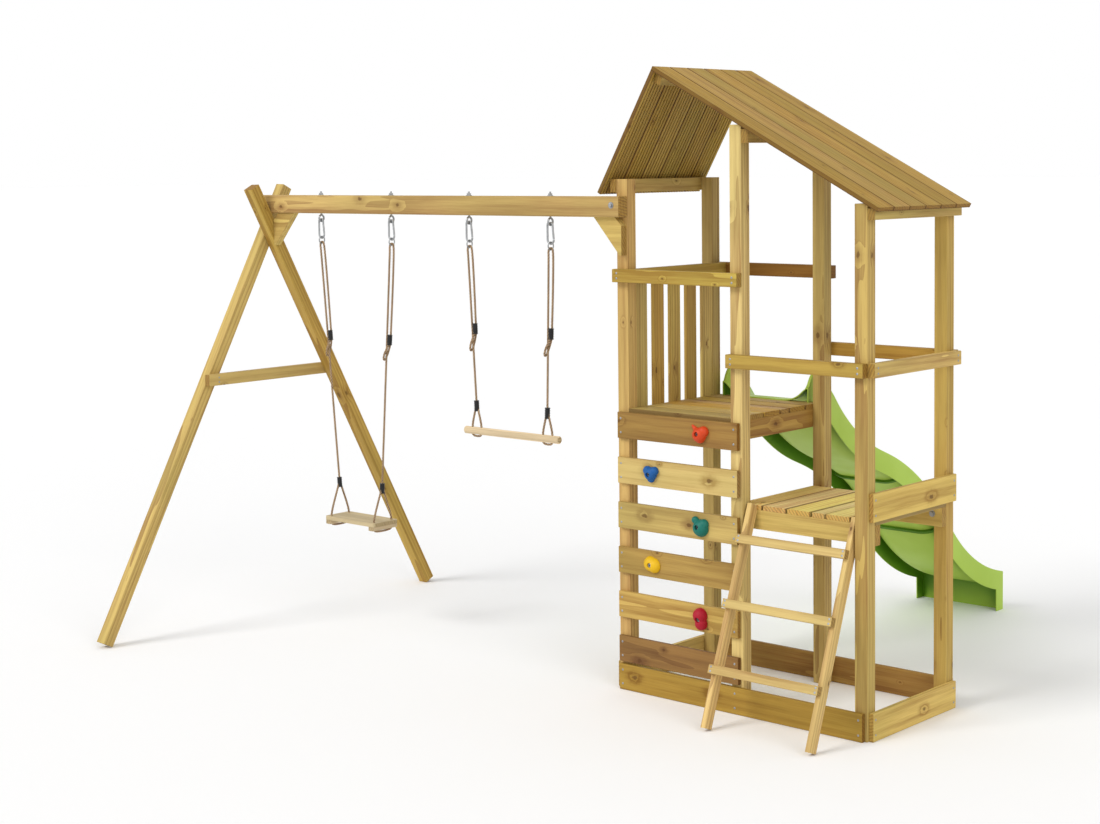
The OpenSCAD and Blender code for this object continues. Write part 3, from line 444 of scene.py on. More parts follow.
def apply_all(obj):
    only(obj)
    for modifier in list(obj.modifiers):
        bpy.ops.object.modifier_apply(modifier=modifier.name)


def settle(obj):
    only(obj)
    bpy.ops.object.transform_apply(location=True, rotation=True, scale=True)


def select_mesh():
    """Goes to edit mode with all of the mesh selected."""
    edit_mode(True)
    bpy.ops.mesh.select_all(action="SELECT")


def cylinder(vertices, radius, depth, base=0.0):
    """A round or many-sided piece that stands on a height."""
    bpy.ops.mesh.primitive_cylinder_add(
        vertices=vertices, radius=radius, depth=depth, location=(0, 0, base + depth / 2))
    return bpy.context.object


def copy_of_node(name, new_name):
    """A merged copy of a CAD node's mesh, to be shaped further."""
    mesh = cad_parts[name].data.copy()
    mesh.materials.clear()
    obj = add_object(new_name, mesh)
    only(obj)
    select_mesh()
    bpy.ops.mesh.remove_doubles(threshold=0.00002)
    edit_mode(False)
    return obj


def put(obj, material, body, slot, *nodes):
    """Finishes a new piece: its material, the body it rides on and the nodes it stands for."""
    obj.data.materials.clear()
    obj.data.materials.append(material)
    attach(obj, body)
    if nodes:
        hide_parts(*nodes)


def copies(model, places, name):
    """Copies of one fastener, each turned so that its axis Z points along a normal, as one piece."""
    made = []
    for point, normal, turn in places:
        one = add_object(name, model.data.copy())
        way = Vector(normal).to_track_quat("Z", "Y").to_matrix().to_4x4()
        one.matrix_world = Matrix.Translation(point) @ way @ Matrix.Rotation(turn, 4, "Z")
        made.append(one)
    clear_selection()
    for one in made:
        one.select_set(True)
    bpy.context.view_layer.objects.active = made[0]
    bpy.ops.object.join()
    joined = bpy.context.object
    joined.name = name
    settle(joined)
    return joined


def faces_up(obj):
    """Selects, in edit mode, the faces on top of a fastener."""
    edit_mode(False)
    top = max(v.co.z for v in obj.data.vertices)
    for v in obj.data.vertices:
        v.select = False
    for e in obj.data.edges:
        e.select = False
    for f in obj.data.polygons:
        f.select = f.normal.z > 0.9 and f.center.z > top - 0.00005
    edit_mode(True)


# How high a screw's edge and a washer stand
SCREW_EDGE, WASHER = 0.0006, 0.0018


def screw_model(head):
    """A wood screw's round head with its recess."""
    clear_selection()
    obj = cylinder(10, head / 2, SCREW_EDGE)
    settle(obj)
    faces_up(obj)
    bpy.ops.mesh.inset(thickness=head * 0.14, depth=SCREW_EDGE)
    bpy.ops.mesh.inset(thickness=head * 0.13, depth=0.0)
    bpy.ops.mesh.inset(thickness=head * 0.04, depth=-0.0011)
    edit_mode(False)
    return obj


def bolt_model(across, high):
    """A hexagon bolt's head on its washer."""
    clear_selection()
    washer = cylinder(24, across * 0.95, WASHER)
    obj = cylinder(6, across / math.sqrt(3), high, WASHER)
    settle(obj)
    faces_up(obj)
    bpy.ops.mesh.inset(thickness=across * 0.08, depth=across * 0.05)
    edit_mode(False)
    washer.select_set(True)
    bpy.ops.object.join()
    settle(obj)
    return obj


def socket_model(across, high):
    """A round bolt head with a round socket sunk in it."""
    clear_selection()
    obj = cylinder(24, across / 2, high)
    settle(obj)
    faces_up(obj)
    bpy.ops.mesh.inset(thickness=across * 0.07, depth=across * 0.05)
    bpy.ops.mesh.inset(thickness=across * 0.16, depth=0.0)
    bpy.ops.mesh.inset(thickness=across * 0.01, depth=-high * 0.6)
    edit_mode(False)
    return obj


# Ropes
def rope_line(points, step):
    """A smooth line through the route's points, sampled evenly."""
    line = []
    count = len(points)
    for i in range(count - 1):
        a, b = points[max(i - 1, 0)], points[i]
        c, d = points[i + 1], points[min(i + 2, count - 1)]
        la, lb, lc = ((b - a).length ** 0.5, (c - b).length ** 0.5, (d - c).length ** 0.5)
        la, lc = la or lb, lc or lb
        m1 = (b - a) / la - (c - a) / (la + lb) + (c - b) / lb if (b - a).length else (c - b) / lb
        m2 = (c - b) / lb - (d - b) / (lb + lc) + (d - c) / lc if (d - c).length else (c - b) / lb
        m1, m2 = m1 * lb, m2 * lb
        parts = max(4, int((c - b).length / 0.002))
        for k in range(parts):
            t = k / parts
            line.append(b * (2 * t ** 3 - 3 * t ** 2 + 1) + m1 * (t ** 3 - 2 * t ** 2 + t)
                        + c * (3 * t ** 2 - 2 * t ** 3) + m2 * (t ** 3 - t ** 2))
    line.append(points[-1].copy())
    total = sum((line[i + 1] - line[i]).length for i in range(len(line) - 1))
    pieces = int(total / step)
    even, gone, i = [line[0].copy()], 0.0, 0
    for k in range(1, pieces):
        want = total * k / pieces
        while gone + (line[i + 1] - line[i]).length < want:
            gone += (line[i + 1] - line[i]).length
            i += 1
        part = (want - gone) / (line[i + 1] - line[i]).length
        even.append(line[i].lerp(line[i + 1], part))
    even.append(line[-1].copy())
    return even, total


# A rope's sides, its rings in one lay, and its radius in a groove and above that, as shares of the diameter
ROPE_SIDES, RINGS_IN_LAY, GROOVE, CROWN = 18, 12, 0.4, 0.11


def rope_mesh(name, points, diameter, lay):
    """Three strands twisted round the line, closed at both ends."""
    sides = ROPE_SIDES
    line, total = rope_line(points, lay / RINGS_IN_LAY)
    verts, faces, crown = [], [], []
    way = (line[1] - line[0]).normalized()
    side = way.orthogonal().normalized()
    for i, p in enumerate(line):
        ahead = (line[min(i + 1, len(line) - 1)] - line[max(i - 1, 0)]).normalized()
        side = (side - ahead * side.dot(ahead)).normalized()
        across = ahead.cross(side)
        twist = math.tau * (total * i / (len(line) - 1)) / lay
        for j in range(sides):
            angle = math.tau * j / sides
            lobe = abs(math.cos(1.5 * (angle - twist)))
            r = diameter * (GROOVE + CROWN * lobe)
            verts.append(p + side * (r * math.cos(angle)) + across * (r * math.sin(angle)))
            crown.append(lobe)
    for i in range(len(line) - 1):
        for j in range(sides):
            e = (j + 1) % sides
            faces.append((i * sides + j, i * sides + e, (i + 1) * sides + e, (i + 1) * sides + j))
    last = (len(line) - 1) * sides
    faces.append(tuple(range(sides - 1, -1, -1)))
    faces.append(tuple(last + j for j in range(sides)))
    mesh = bpy.data.meshes.new(name)
    mesh.from_pydata(verts, [], faces)
    strand = mesh.attributes.new("strand", "FLOAT", "POINT")
    strand.data.foreach_set("value", crown)
    obj = add_object(name, mesh)
    only(obj)
    bpy.ops.object.shade_smooth()
    return obj, line, total


# Routes in millimetres. A turn through the ring and the eye at a sleeve: along, across and aside
TURN = [(40, -12, 0), (16, -13, 0), (4, -9, 0), (0, 0, 0), (4, 9, 0), (16, 13, 0)]
EYE = [(-24, 12, 5.4), (22, 10, 5.8), (68, -9, 11), (94, -18, 7), (100, -20, 0), (94, -18, -7),
       (68, -9, -11), (22, 10, -5.8), (-20, 12, -5.4)]
LOOP_Z = 1891.52
# Half of a rope's end below the lower sleeve: out from the middle, and height
SEAT_HALF = [(5.4, 712.6), (56, 568), (56, 524.7), (48, 516.7)]
BAR_HALF = [(5.4, 1158.6), (27, 1075), (27, 1035.7), (19, 1027.7)]
# Each long rope: X at its top and its foot, height of its lower and its upper sleeve
SEAT_MAINS = [(-1850, -1754, 718, 1435.5), (-1356, -1452, 718, 1435.5)]
BAR_MAINS = [(-845, -814, 1164, 1515.5), (-351, -382, 1164, 1515.5)]


def hanging_route(x, low_x, low_z, high_z):
    """From the lower sleeve up through the ring, down again to the upper sleeve and round its eye."""
    top, low = Vector((x, LOOP_Z)), Vector((low_x, low_z))
    run = (low - top).length
    d = (low - top) / run
    down = (LOOP_Z - high_z) * run / (LOOP_Z - low_z)
    places = [(run, 0, 0)] + TURN + [(a + down, b, c) for a, b, c in EYE]
    return [spot(top.x + a * d.x - b * d.y, BEAM_Y + c, top.y + a * d.y + b * d.x) for a, b, c in places]


def seat_route(x):
    return ([spot(x, BEAM_Y - y, z) for y, z in SEAT_HALF]
            + [spot(x, BEAM_Y + y, z) for y, z in reversed(SEAT_HALF)])


def bar_route(x):
    return ([spot(x - a, BEAM_Y, z) for a, z in BAR_HALF]
            + [spot(x + a, BEAM_Y, z) for a, z in reversed(BAR_HALF)])


class CLIMB_OT_ropes(bpy.types.Operator):
    """Twist the ropes of the seat and the trapeze along their routes"""

    bl_idname = "climb.ropes"
    bl_label = "Ropes"

    def execute(self, context):
        s = context.scene.climbing_rope
        material = twisted("twisted_rope")
        sets = [
            ("seat", "swing_seat", "seat_ropes", SEAT_MAINS, [seat_route(m[1]) for m in SEAT_MAINS]),
            ("trapeze", "trapeze", "trapeze_ropes", BAR_MAINS, [bar_route(m[1]) for m in BAR_MAINS]),
        ]
        for what, body, node, mains, strands in sets:
            routes = [("rope_" + side, hanging_route(*m)) for side, m in zip(("left", "right"), mains)]
            routes += [("strand_" + side, r) for side, r in zip(("left", "right"), strands)]
            for name, route in routes:
                obj, line, total = rope_mesh(what + "_" + name, route, s.rope, s.lay)
                put(obj, material, body, "rope", node)
        return {"FINISHED"}


# Planks of the decks: one after the other, with a narrow one among them
PLANK_STEP, PLANK_GAP, FILLER_AFTER, WIDE_PLANKS = 0.117, 0.005, 3, 5
UPPER_FILLER, LOWER_FILLER = (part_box(n)[1][i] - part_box(n)[0][i] - WIDE_PLANKS * PLANK_STEP
                              for n, i in (("upper_deck_planks", 1), ("lower_deck_planks", 0)))
# Each single board's way of the grain and its shade of red, green and blue
SINGLE = {
    "front_left_post": ("z", 1.3, 1.28, 1.3), "front_middle_post": ("z", 1.72, 1.8, 2.4),
    "front_right_post": ("z", 1.08, 1.13, 0.8), "back_left_post": ("z", 1.15, 1.13, 1.1),
    "back_middle_post": ("z", 1.0, 0.98, 0.8), "back_right_post": ("z", 1.1, 1.12, 0.85),
    "climbing_board_1": ("x", 0.9, 0.68, 0.25), "climbing_board_2": ("x", 1.22, 1.24, 2.3),
    "climbing_board_3": ("x", 1.25, 1.17, 1.06), "climbing_board_4": ("x", 1.1, 0.98, 0.82),
    # climbing_board_6's low shade is painted shade, for the shadow that falls on it
    "climbing_board_5": ("x", 1.15, 1.1, 1.3), "climbing_board_6": ("x", 0.53, 0.39, 0.16),
    "deck_side_board": ("y", 1.45, 1.4, 1.7), "upper_rail_front": ("x", 1.3, 1.28, 1.15),
    # upper_rail_back's low shade is painted shade, for the shadow at the back
    "upper_rail_left": ("y", 1.1, 1.1, 1.0), "upper_rail_back": ("x", 0.75, 0.6, 0.45),
    "lower_rail_front": ("x", 1.1, 0.98, 0.8), "lower_rail_right": ("y", 1.45, 1.45, 1.15),
    "lower_rail_back": ("x", 1.0, 0.9, 0.7), "swing_beam": ("x", 1.45, 1.47, 1.27),
    "swing_leg_front": ("leg_front", 1.15, 1.22, 1.0), "swing_leg_back": ("leg_back", 1.25, 1.1, 1.2),
    "swing_leg_brace": ("y", 1.2, 1.15, 1.1),
}
# The same for nodes of two boards or more that share one run of grain
SEVERAL = {
    "upper_deck_joists": ("y_up", 1.2, 1.15, 0.9), "lower_deck_joists": ("x", 1.4, 1.38, 1.5),
    "ladder_stringers": ("ladder", 1.55, 1.58, 1.8), "ladder_rungs": ("x", 1.25, 1.33, 1.8),
    "roof_purlins": ("y", 1.2, 1.15, 0.95), "beam_brackets": ("x", 1.35, 1.33, 1.4),
}
FEW_KNOTS, SLATS = 0.25, 5
ROOF_SHADE, ROOF_TINT, ROOF_VARIETY = (0.98, 0.89, 0.62), 0.45, 0.4


class CLIMB_OT_timber(bpy.types.Operator):
    """Give every board, post, beam and rail its own piece of softwood"""

    bl_idname = "climb.timber"
    bl_label = "Timber"

    def execute(self, context):
        for i, (name, (along, *shade)) in enumerate(SINGLE.items()):
            dress(name, timber(name + "_wood", along, 3.1 + i * 1.7, shade))
        for i, (name, (along, *shade)) in enumerate(SEVERAL.items()):
            dress(name, timber(name + "_wood", along, 71.3 + i * 2.3, shade, knots=FEW_KNOTS))
        # The base boards part half way between them
        dress("base_boards_long", timber(
            "base_long_wood", "x", 81.0, (0.8, 0.68, 0.57), board_pitch=0.4,
            board_start=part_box("base_boards_long")[0].y - 0.1))
        dress("base_boards_short", timber(
            "base_short_wood", "y", 83.0, (1.6, 1.75, 1.95), knots=FEW_KNOTS, board_pitch=0.7,
            board_start=-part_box("base_boards_short")[1].x - 0.1))
        boards = {"board_pitch": PLANK_STEP, "board_gap": PLANK_GAP}
        for name, along, shade, seed, filler in (
                ("upper_deck_planks", "x", (1.29, 1.28, 1.08), 91.0, UPPER_FILLER),
                ("lower_deck_planks", "y_up", (2.4, 2.4, 3.6), 93.0, LOWER_FILLER)):
            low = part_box(name)[0]
            dress(name, timber(
                name + "_wood", along, seed, shade, board_start=low.y if along == "x" else low.x,
                filler_end=FILLER_AFTER * PLANK_STEP + filler + PLANK_GAP / 2,
                filler_shift=PLANK_STEP - PLANK_GAP - filler, **boards))
        low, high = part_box("balustrade_slats")
        dress("balustrade_slats", timber(
            "slat_wood", "z", 95.0, (1.2, 1.15, 0.95), board_start=low.y,
            board_pitch=(high.y - low.y + 0.02) / SLATS))
        for side, seed in (("left", 97.0), ("right", 99.0)):
            name = "roof_boards_" + side
            tilt = math.radians(ALONG["roof_" + side][1])
            under = min(v.co.z * math.cos(tilt) - v.co.x * math.sin(tilt)
                        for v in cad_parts[name].data.vertices)
            dress(name, timber(
                name + "_wood", "roof_" + side, seed, ROOF_SHADE, ROOF_TINT, underside=under,
                variety=ROOF_VARIETY, board_start=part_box(name)[0].y, **boards))
        dress("seat_board", timber("seat_wood", "x", 41.0, pale=True, knots=0.15))
        dress("seat_battens", timber("batten_wood", "y", 43.0, pale=True, knots=0.1))
        dress("trapeze_bar", timber("bar_wood", "x", 45.0, (1.2, 1.22, 1.28), pale=True, knots=0.0))
        return {"FINISHED"}


# Slide: sizes in millimetres, the line in the plane of Y and Z
SLIDE_X, BED_HALF, WALL = 326.0, 100, 5
SIDE_R, SIDE_TURN, FOLD_SHARE = 134.457, math.radians(61.346), 0.94
RIM_IN, RIM_OUT, RIM_UP, SKIRT = 218, 230, 70, -26
# Cheeks beside the upper end: their length, their height and the share of it along them
CHEEK_LONG, CHEEK_HIGH = 200, 122
CHEEK = [(0, 0.3), (0.01, 0.38), (0.035, 0.5), (0.075, 0.66), (0.125, 0.82), (0.175, 0.92), (0.23, 0.973),
         (0.296, 0.995), (0.363, 0.942), (0.429, 0.87), (0.495, 0.79), (0.562, 0.72), (0.628, 0.665),
         (0.694, 0.625), (0.761, 0.6), (0.85, 0.58), (1, 0.574)]
# A cheek grows out of the side from this height, in full after this rise
CHEEK_FROM, CHEEK_RISE, CHEEK_OUT = 44, 22, 190
# Each stretch: its radius, the dip it starts and ends with, and the straight that follows
LIP_R, DIP_R, HUMP_R, EXIT_R, LAST_STRAIGHT = 152.0, -963.0, 1169.0, -972.0, 2.0
STRETCHES = ((LIP_R, 0.0, 49.8, 22.0), (DIP_R, 49.8, 21.1, 63.0), (HUMP_R, 21.1, 48.3, None),
             (EXIT_R, 48.3, 14.1, LAST_STRAIGHT))
LIP, EXIT_DIP, FOOT, END = (614.0, 660.0, 1221.0), math.radians(14.1), 59.0, (2333.2, 120.0)
LIP_STEPS = (0, 2, 7, 13, 20, 28, 36, 46)
# Where the lip lies on the deck, and its underside there
LIP_ON_DECK, LIP_UNDER = 650.5, 1216.05
# Y up to which the cheeks and from which the foot are shaped
CHEEKS_TO, FOOT_FROM = 850, 2200
# Ribs: the first one's dip, the second one's share of the straight, and their spread, depth and width
RIB_DIP, RIB_SHARE = math.radians(31), 0.6
RIB_SPREAD, RIB_DEEP, RIB_WIDE = 0.82, 17, 0.016


def side_point(r, turn):
    return (BED_HALF + r * math.sin(turn), SIDE_R - r * math.cos(turn))


def rounded(before, corner, after, r):
    """A corner of an outline, rounded off."""
    p, c, q = Vector(before), Vector(corner), Vector(after)
    a, b = c + (p - c).normalized() * r, c + (q - c).normalized() * r
    return [tuple(a * (1 - t) ** 2 + c * (2 * t * (1 - t)) + b * t * t) for t in (0, 0.33, 0.67, 1)]


def slide_section():
    """Half of the moulding's section, from the edge of the bed up to the rim and back below."""
    inner = [side_point(SIDE_R, SIDE_TURN * i / 12) for i in range(12)]
    outer = [side_point(SIDE_R + WALL, SIDE_TURN * FOLD_SHARE * i / 12) for i in range(12, -1, -1)]
    rim, top, low, edge = (RIM_IN, RIM_UP), (RIM_OUT, RIM_UP), (RIM_OUT, SKIRT), (RIM_OUT - WALL, SKIRT)
    fold = (RIM_OUT - WALL, outer[0][1])
    return (inner + rounded(inner[-1], rim, top, 4) + rounded(rim, top, low, 4)
            + rounded(top, low, edge, 1.6) + rounded(low, edge, fold, 1.6) + [fold] + outer)


def both_halves(half):
    return half + [(-x, z) for x, z in reversed(half)]


def cheek_rim(d):
    """Height of the rim at a distance from the slide's upper end."""
    if d > CHEEK_LONG:
        return float(RIM_UP)
    share = d / CHEEK_LONG
    for (a, low), (b, high) in zip(CHEEK, CHEEK[1:]):
        if a <= share <= b:
            rise = CHEEK_HIGH * (low + (high - low) * (share - a) / (b - a))
            return max(rise, RIM_UP * (0.85 if d < CHEEK_LONG / 2 else 1.0))
    return float(RIM_UP)


def outline_object(name, points):
    """A closed line of edges, to be drawn out."""
    mesh = bpy.data.meshes.new(name)
    count = len(points)
    mesh.from_pydata(points, [(i, (i + 1) % count) for i in range(count)], [])
    obj = add_object(name, mesh)
    only(obj)
    return obj


def plate(name, points, way):
    """A flat piece drawn out of its outline."""
    obj = outline_object(name, points)
    select_mesh()
    bpy.ops.mesh.edge_face_add()
    bpy.ops.mesh.extrude_region_move(TRANSFORM_OT_translate={"value": way})
    bpy.ops.mesh.select_all(action="SELECT")
    bpy.ops.mesh.normals_make_consistent(inside=False)
    edit_mode(False)
    return obj


def at_slide(point, dip, across, up):
    """A place on the section that stands on a point of the slide's line."""
    return spot(SLIDE_X + across, point[0] + up * math.sin(dip), point[1] + up * math.cos(dip))


class CLIMB_OT_slide(bpy.types.Operator):
    """Draw the slide's section along its line and close its end"""

    bl_idname = "climb.slide"
    bl_label = "Slide"

    def run_on(self, length, dip):
        """The selected ring is drawn out straight."""
        way = Vector((0, math.cos(dip), -math.sin(dip))) * (length / 1000)
        bpy.ops.mesh.extrude_region_move(TRANSFORM_OT_translate={"value": way})

    def execute(self, context):
        start = (LIP[0], LIP[2])
        section = both_halves(slide_section())
        obj = outline_object("wave_slide", [at_slide(start, 0, x, z) for x, z in section])
        select_mesh()
        for a, b in zip(LIP_STEPS, LIP_STEPS[1:]):
            self.run_on(b - a, 0)
        point, ribs = Vector((LIP[1], LIP[2])), []
        for radius, dip, end, straight in STRETCHES:
            a, b = math.radians(dip), math.radians(end)
            middle = point - radius * Vector((math.sin(a), math.cos(a)))
            bpy.ops.mesh.spin(steps=max(3, round(abs(end - dip) / 1.8)), angle=b - a,
                              center=spot(SLIDE_X, middle.x, middle.y), axis=(1, 0, 0))
            if radius == HUMP_R:
                crest = Vector((math.sin(RIB_DIP), math.cos(RIB_DIP)))
                ribs.append((middle + radius * crest, RIB_DIP))
            point = middle + radius * Vector((math.sin(b), math.cos(b)))
            if straight is None:
                # What is left down to the end's height
                fall = (END[1] + (FOOT + LAST_STRAIGHT) * math.sin(EXIT_DIP)
                        - EXIT_R * (math.cos(EXIT_DIP) - math.cos(b)))
                straight = (point.y - fall) / math.sin(b)
                ribs.append((point + RIB_SHARE * straight * Vector((math.cos(b), -math.sin(b))), b))
            self.run_on(straight, b)
            point += straight * Vector((math.cos(b), -math.sin(b)))
        self.run_on(FOOT, EXIT_DIP)
        foot = point.copy()
        point += FOOT * Vector((math.cos(EXIT_DIP), -math.sin(EXIT_DIP)))
        if (point - Vector(END)).length > 1.0:
            raise RuntimeError("the slide's line ends at %s" % point)
        bpy.ops.mesh.select_all(action="SELECT")
        bpy.ops.mesh.fill_holes(sides=0)
        bpy.ops.mesh.normals_make_consistent(inside=False)
        edit_mode(False)
        self.shape_ends(obj, foot)
        s = context.scene.climbing_finish
        self.as_one(obj, self.end_panel())
        put(obj, moulded("slide_plastic", s.slide, 0.46, 0.16, 420.0, 0.06, s.slide_shade),
            "frame", "slide_plastic", "slide_bed", "slide_side_left", "slide_side_right")
        # The ribs are coarser, and carry the same painted shade colour as the hollows, for the shadow on
        # them
        first, second = (self.rib(p, t) for p, t in ribs)
        self.as_one(first, second)
        put(first, moulded("slide_rib_plastic", s.slide_shade, 0.6, 0.5, 160.0, 0.5),
            "frame", "slide_plastic")
        return {"FINISHED"}

    def as_one(self, obj, other):
        only(obj)
        other.select_set(True)
        bpy.ops.object.join()
        settle(obj)
        bpy.ops.object.shade_smooth_by_angle(angle=math.radians(30))

    def shape_ends(self, obj, foot):
        """Raises the cheeks, lays the lip on the deck and stands the lower end on the ground."""
        for v in obj.data.vertices:
            p = (v.co - CORNER) * 1000
            if p.y < CHEEKS_TO:
                if p.y > LIP[1]:
                    out, rise = p.y - LIP[1], p.z - LIP[2] + LIP_R
                    dip = math.atan2(out, rise)
                    gone, up = LIP[1] - LIP[0] + LIP_R * dip, math.hypot(out, rise) - LIP_R
                else:
                    dip, gone, up = 0.0, p.y - LIP[0], p.z - LIP[2]
                if abs(p.x - SLIDE_X) > CHEEK_OUT and up > CHEEK_FROM:
                    lift = (cheek_rim(gone) - RIM_UP) * min(1.0, (up - CHEEK_FROM) / CHEEK_RISE)
                    v.co += Vector((0, math.sin(dip), math.cos(dip))) * (lift / 1000)
                if p.y < LIP_ON_DECK and p.z < LIP_UNDER:
                    v.co.z = LIP_UNDER / 1000
            if p.y > FOOT_FROM:
                out, rise = p.y - foot.x, p.z - foot.y
                along = out * math.cos(EXIT_DIP) - rise * math.sin(EXIT_DIP)
                up = out * math.sin(EXIT_DIP) + rise * math.cos(EXIT_DIP)
                if along > FOOT - 0.1:
                    v.co = spot(p.x, END[0], END[1] + up / math.cos(EXIT_DIP))
                if along > -0.1 and up < -20:
                    v.co.z = 0.0

    def end_panel(self):
        """The upright panel that closes the lower end down to the ground."""
        arc = [side_point(SIDE_R + WALL / 2, SIDE_TURN * i / 12) for i in range(11)]
        half = [(x, END[1] + z / math.cos(EXIT_DIP)) for x, z in arc] + [(227, END[1] + 62), (227, 0)]
        return plate("slide_end", [spot(SLIDE_X + x, END[0] - WALL / 2, z) for x, z in both_halves(half)],
                     (0, -WALL / 1000, 0))

    def rib(self, point, dip):
        """A rib that runs across below the bed and up both sides."""
        turn = SIDE_TURN * RIB_SPREAD
        inner = [side_point(SIDE_R + WALL / 2, turn * i / 10) for i in range(11)]
        outer = [side_point(SIDE_R + RIB_DEEP, turn * i / 10) for i in range(10, -1, -1)]
        side = Vector((0, math.cos(dip), -math.sin(dip)))
        return plate("slide_rib", [at_slide(point, dip, x, z) - side * (RIB_WIDE / 2)
                                   for x, z in both_halves(inner + outer)], side * RIB_WIDE)


# Holds: X of the even and the odd ones as a share of the wall's width in millimetres, and the bolts' places
HOLD_EVEN, HOLD_ODD, CLIMB_WIDE, BOLT_OUT = 0.305, 0.7, 652, 0.0122
HOLD_VOXEL, HOLD_SMOOTHING = 0.0018, 9


class CLIMB_OT_holds(bpy.types.Operator):
    """Round the climbing holds off and colour them"""

    bl_idname = "climb.holds"
    bl_label = "Climbing holds"

    def execute(self, context):
        s = context.scene.climbing_finish
        for i, colour in enumerate((s.orange, s.blue, s.teal, s.yellow, s.crimson), 1):
            node = "climbing_hold_%d" % i
            obj = copy_of_node(node, "hold_%d" % i)
            remesh = obj.modifiers.new("even", "REMESH")
            remesh.mode, remesh.voxel_size = "VOXEL", HOLD_VOXEL
            soft = obj.modifiers.new("rounded", "SMOOTH")
            soft.factor, soft.iterations = 0.5, HOLD_SMOOTHING
            apply_all(obj)
            bpy.ops.object.shade_smooth()
            plastic = moulded(node + "_plastic", colour, 0.5, 0.3, 1300.0, 0.3)
            put(obj, plastic, "frame", "hold_%d" % i, node)
        # A bolt sits in each hold's recess
        model = socket_model(0.018, 0.01)
        places = []
        for i in range(1, 6):
            low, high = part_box("climbing_board_%d" % i)
            x = spot((HOLD_ODD if i % 2 else HOLD_EVEN) * CLIMB_WIDE, 0, 0).x
            place = Vector((x, low.y - BOLT_OUT, (low.z + high.z) / 2))
            places.append((place, FRONT, 0.4 * i))
        put(copies(model, places, "hold_bolts"), galvanised("hold_bolt_steel"), "frame", "steel")
        bpy.data.objects.remove(model)
        return {"FINISHED"}


class CLIMB_OT_fittings(bpy.types.Operator):
    """Give the steel fittings and the black sleeves their finish"""

    bl_idname = "climb.fittings"
    bl_label = "Fittings"

    def execute(self, context):
        steel = galvanised("galvanised_steel")
        black = moulded("sleeve_plastic", context.scene.climbing_finish.sleeve, 0.45, 0.2, 1500.0, 0.2)
        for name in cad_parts:
            if name.endswith(("_carabiners", "_rings", "_bolts")) or "_gate_" in name:
                dress(name, steel)
            elif name.endswith("_sleeves"):
                dress(name, black)
        return {"FINISHED"}


# Screws: how far in from a board's ends, and how far above each other
BOARD_IN, BOARD_APART, RAIL_IN, RAIL_APART, BRACE_IN = 0.017, 0.06, 0.024, 0.022, 0.06
FRONT, RIGHT, LEFT, BACK = (0, -1, 0), (1, 0, 0), (-1, 0, 0), (0, 1, 0)
# The ladder in millimetres: X of its screws, Y of its foot, how far its front stands off, and its rungs
LADDER_X, LADDER_FOOT, LADDER_FRONT = (671, 1169), -254, -78.0
FIRST_RUNG, RUNG_STEP, RUNGS, RUNG_SCREWS = 214, 266, 3, (9, 27)
# Slats: from an edge to the middle of one, from its end to its screws, and half of the screws' distance
SLAT_MIDDLE, SLAT_END, SLAT_APART = 0.036, 0.03, 0.016
# The middle post's X where the base boards are screwed on, and the bolt in the beam
MIDDLE_POST, BEAM_BOLT = 623, (18, -58, 2081)


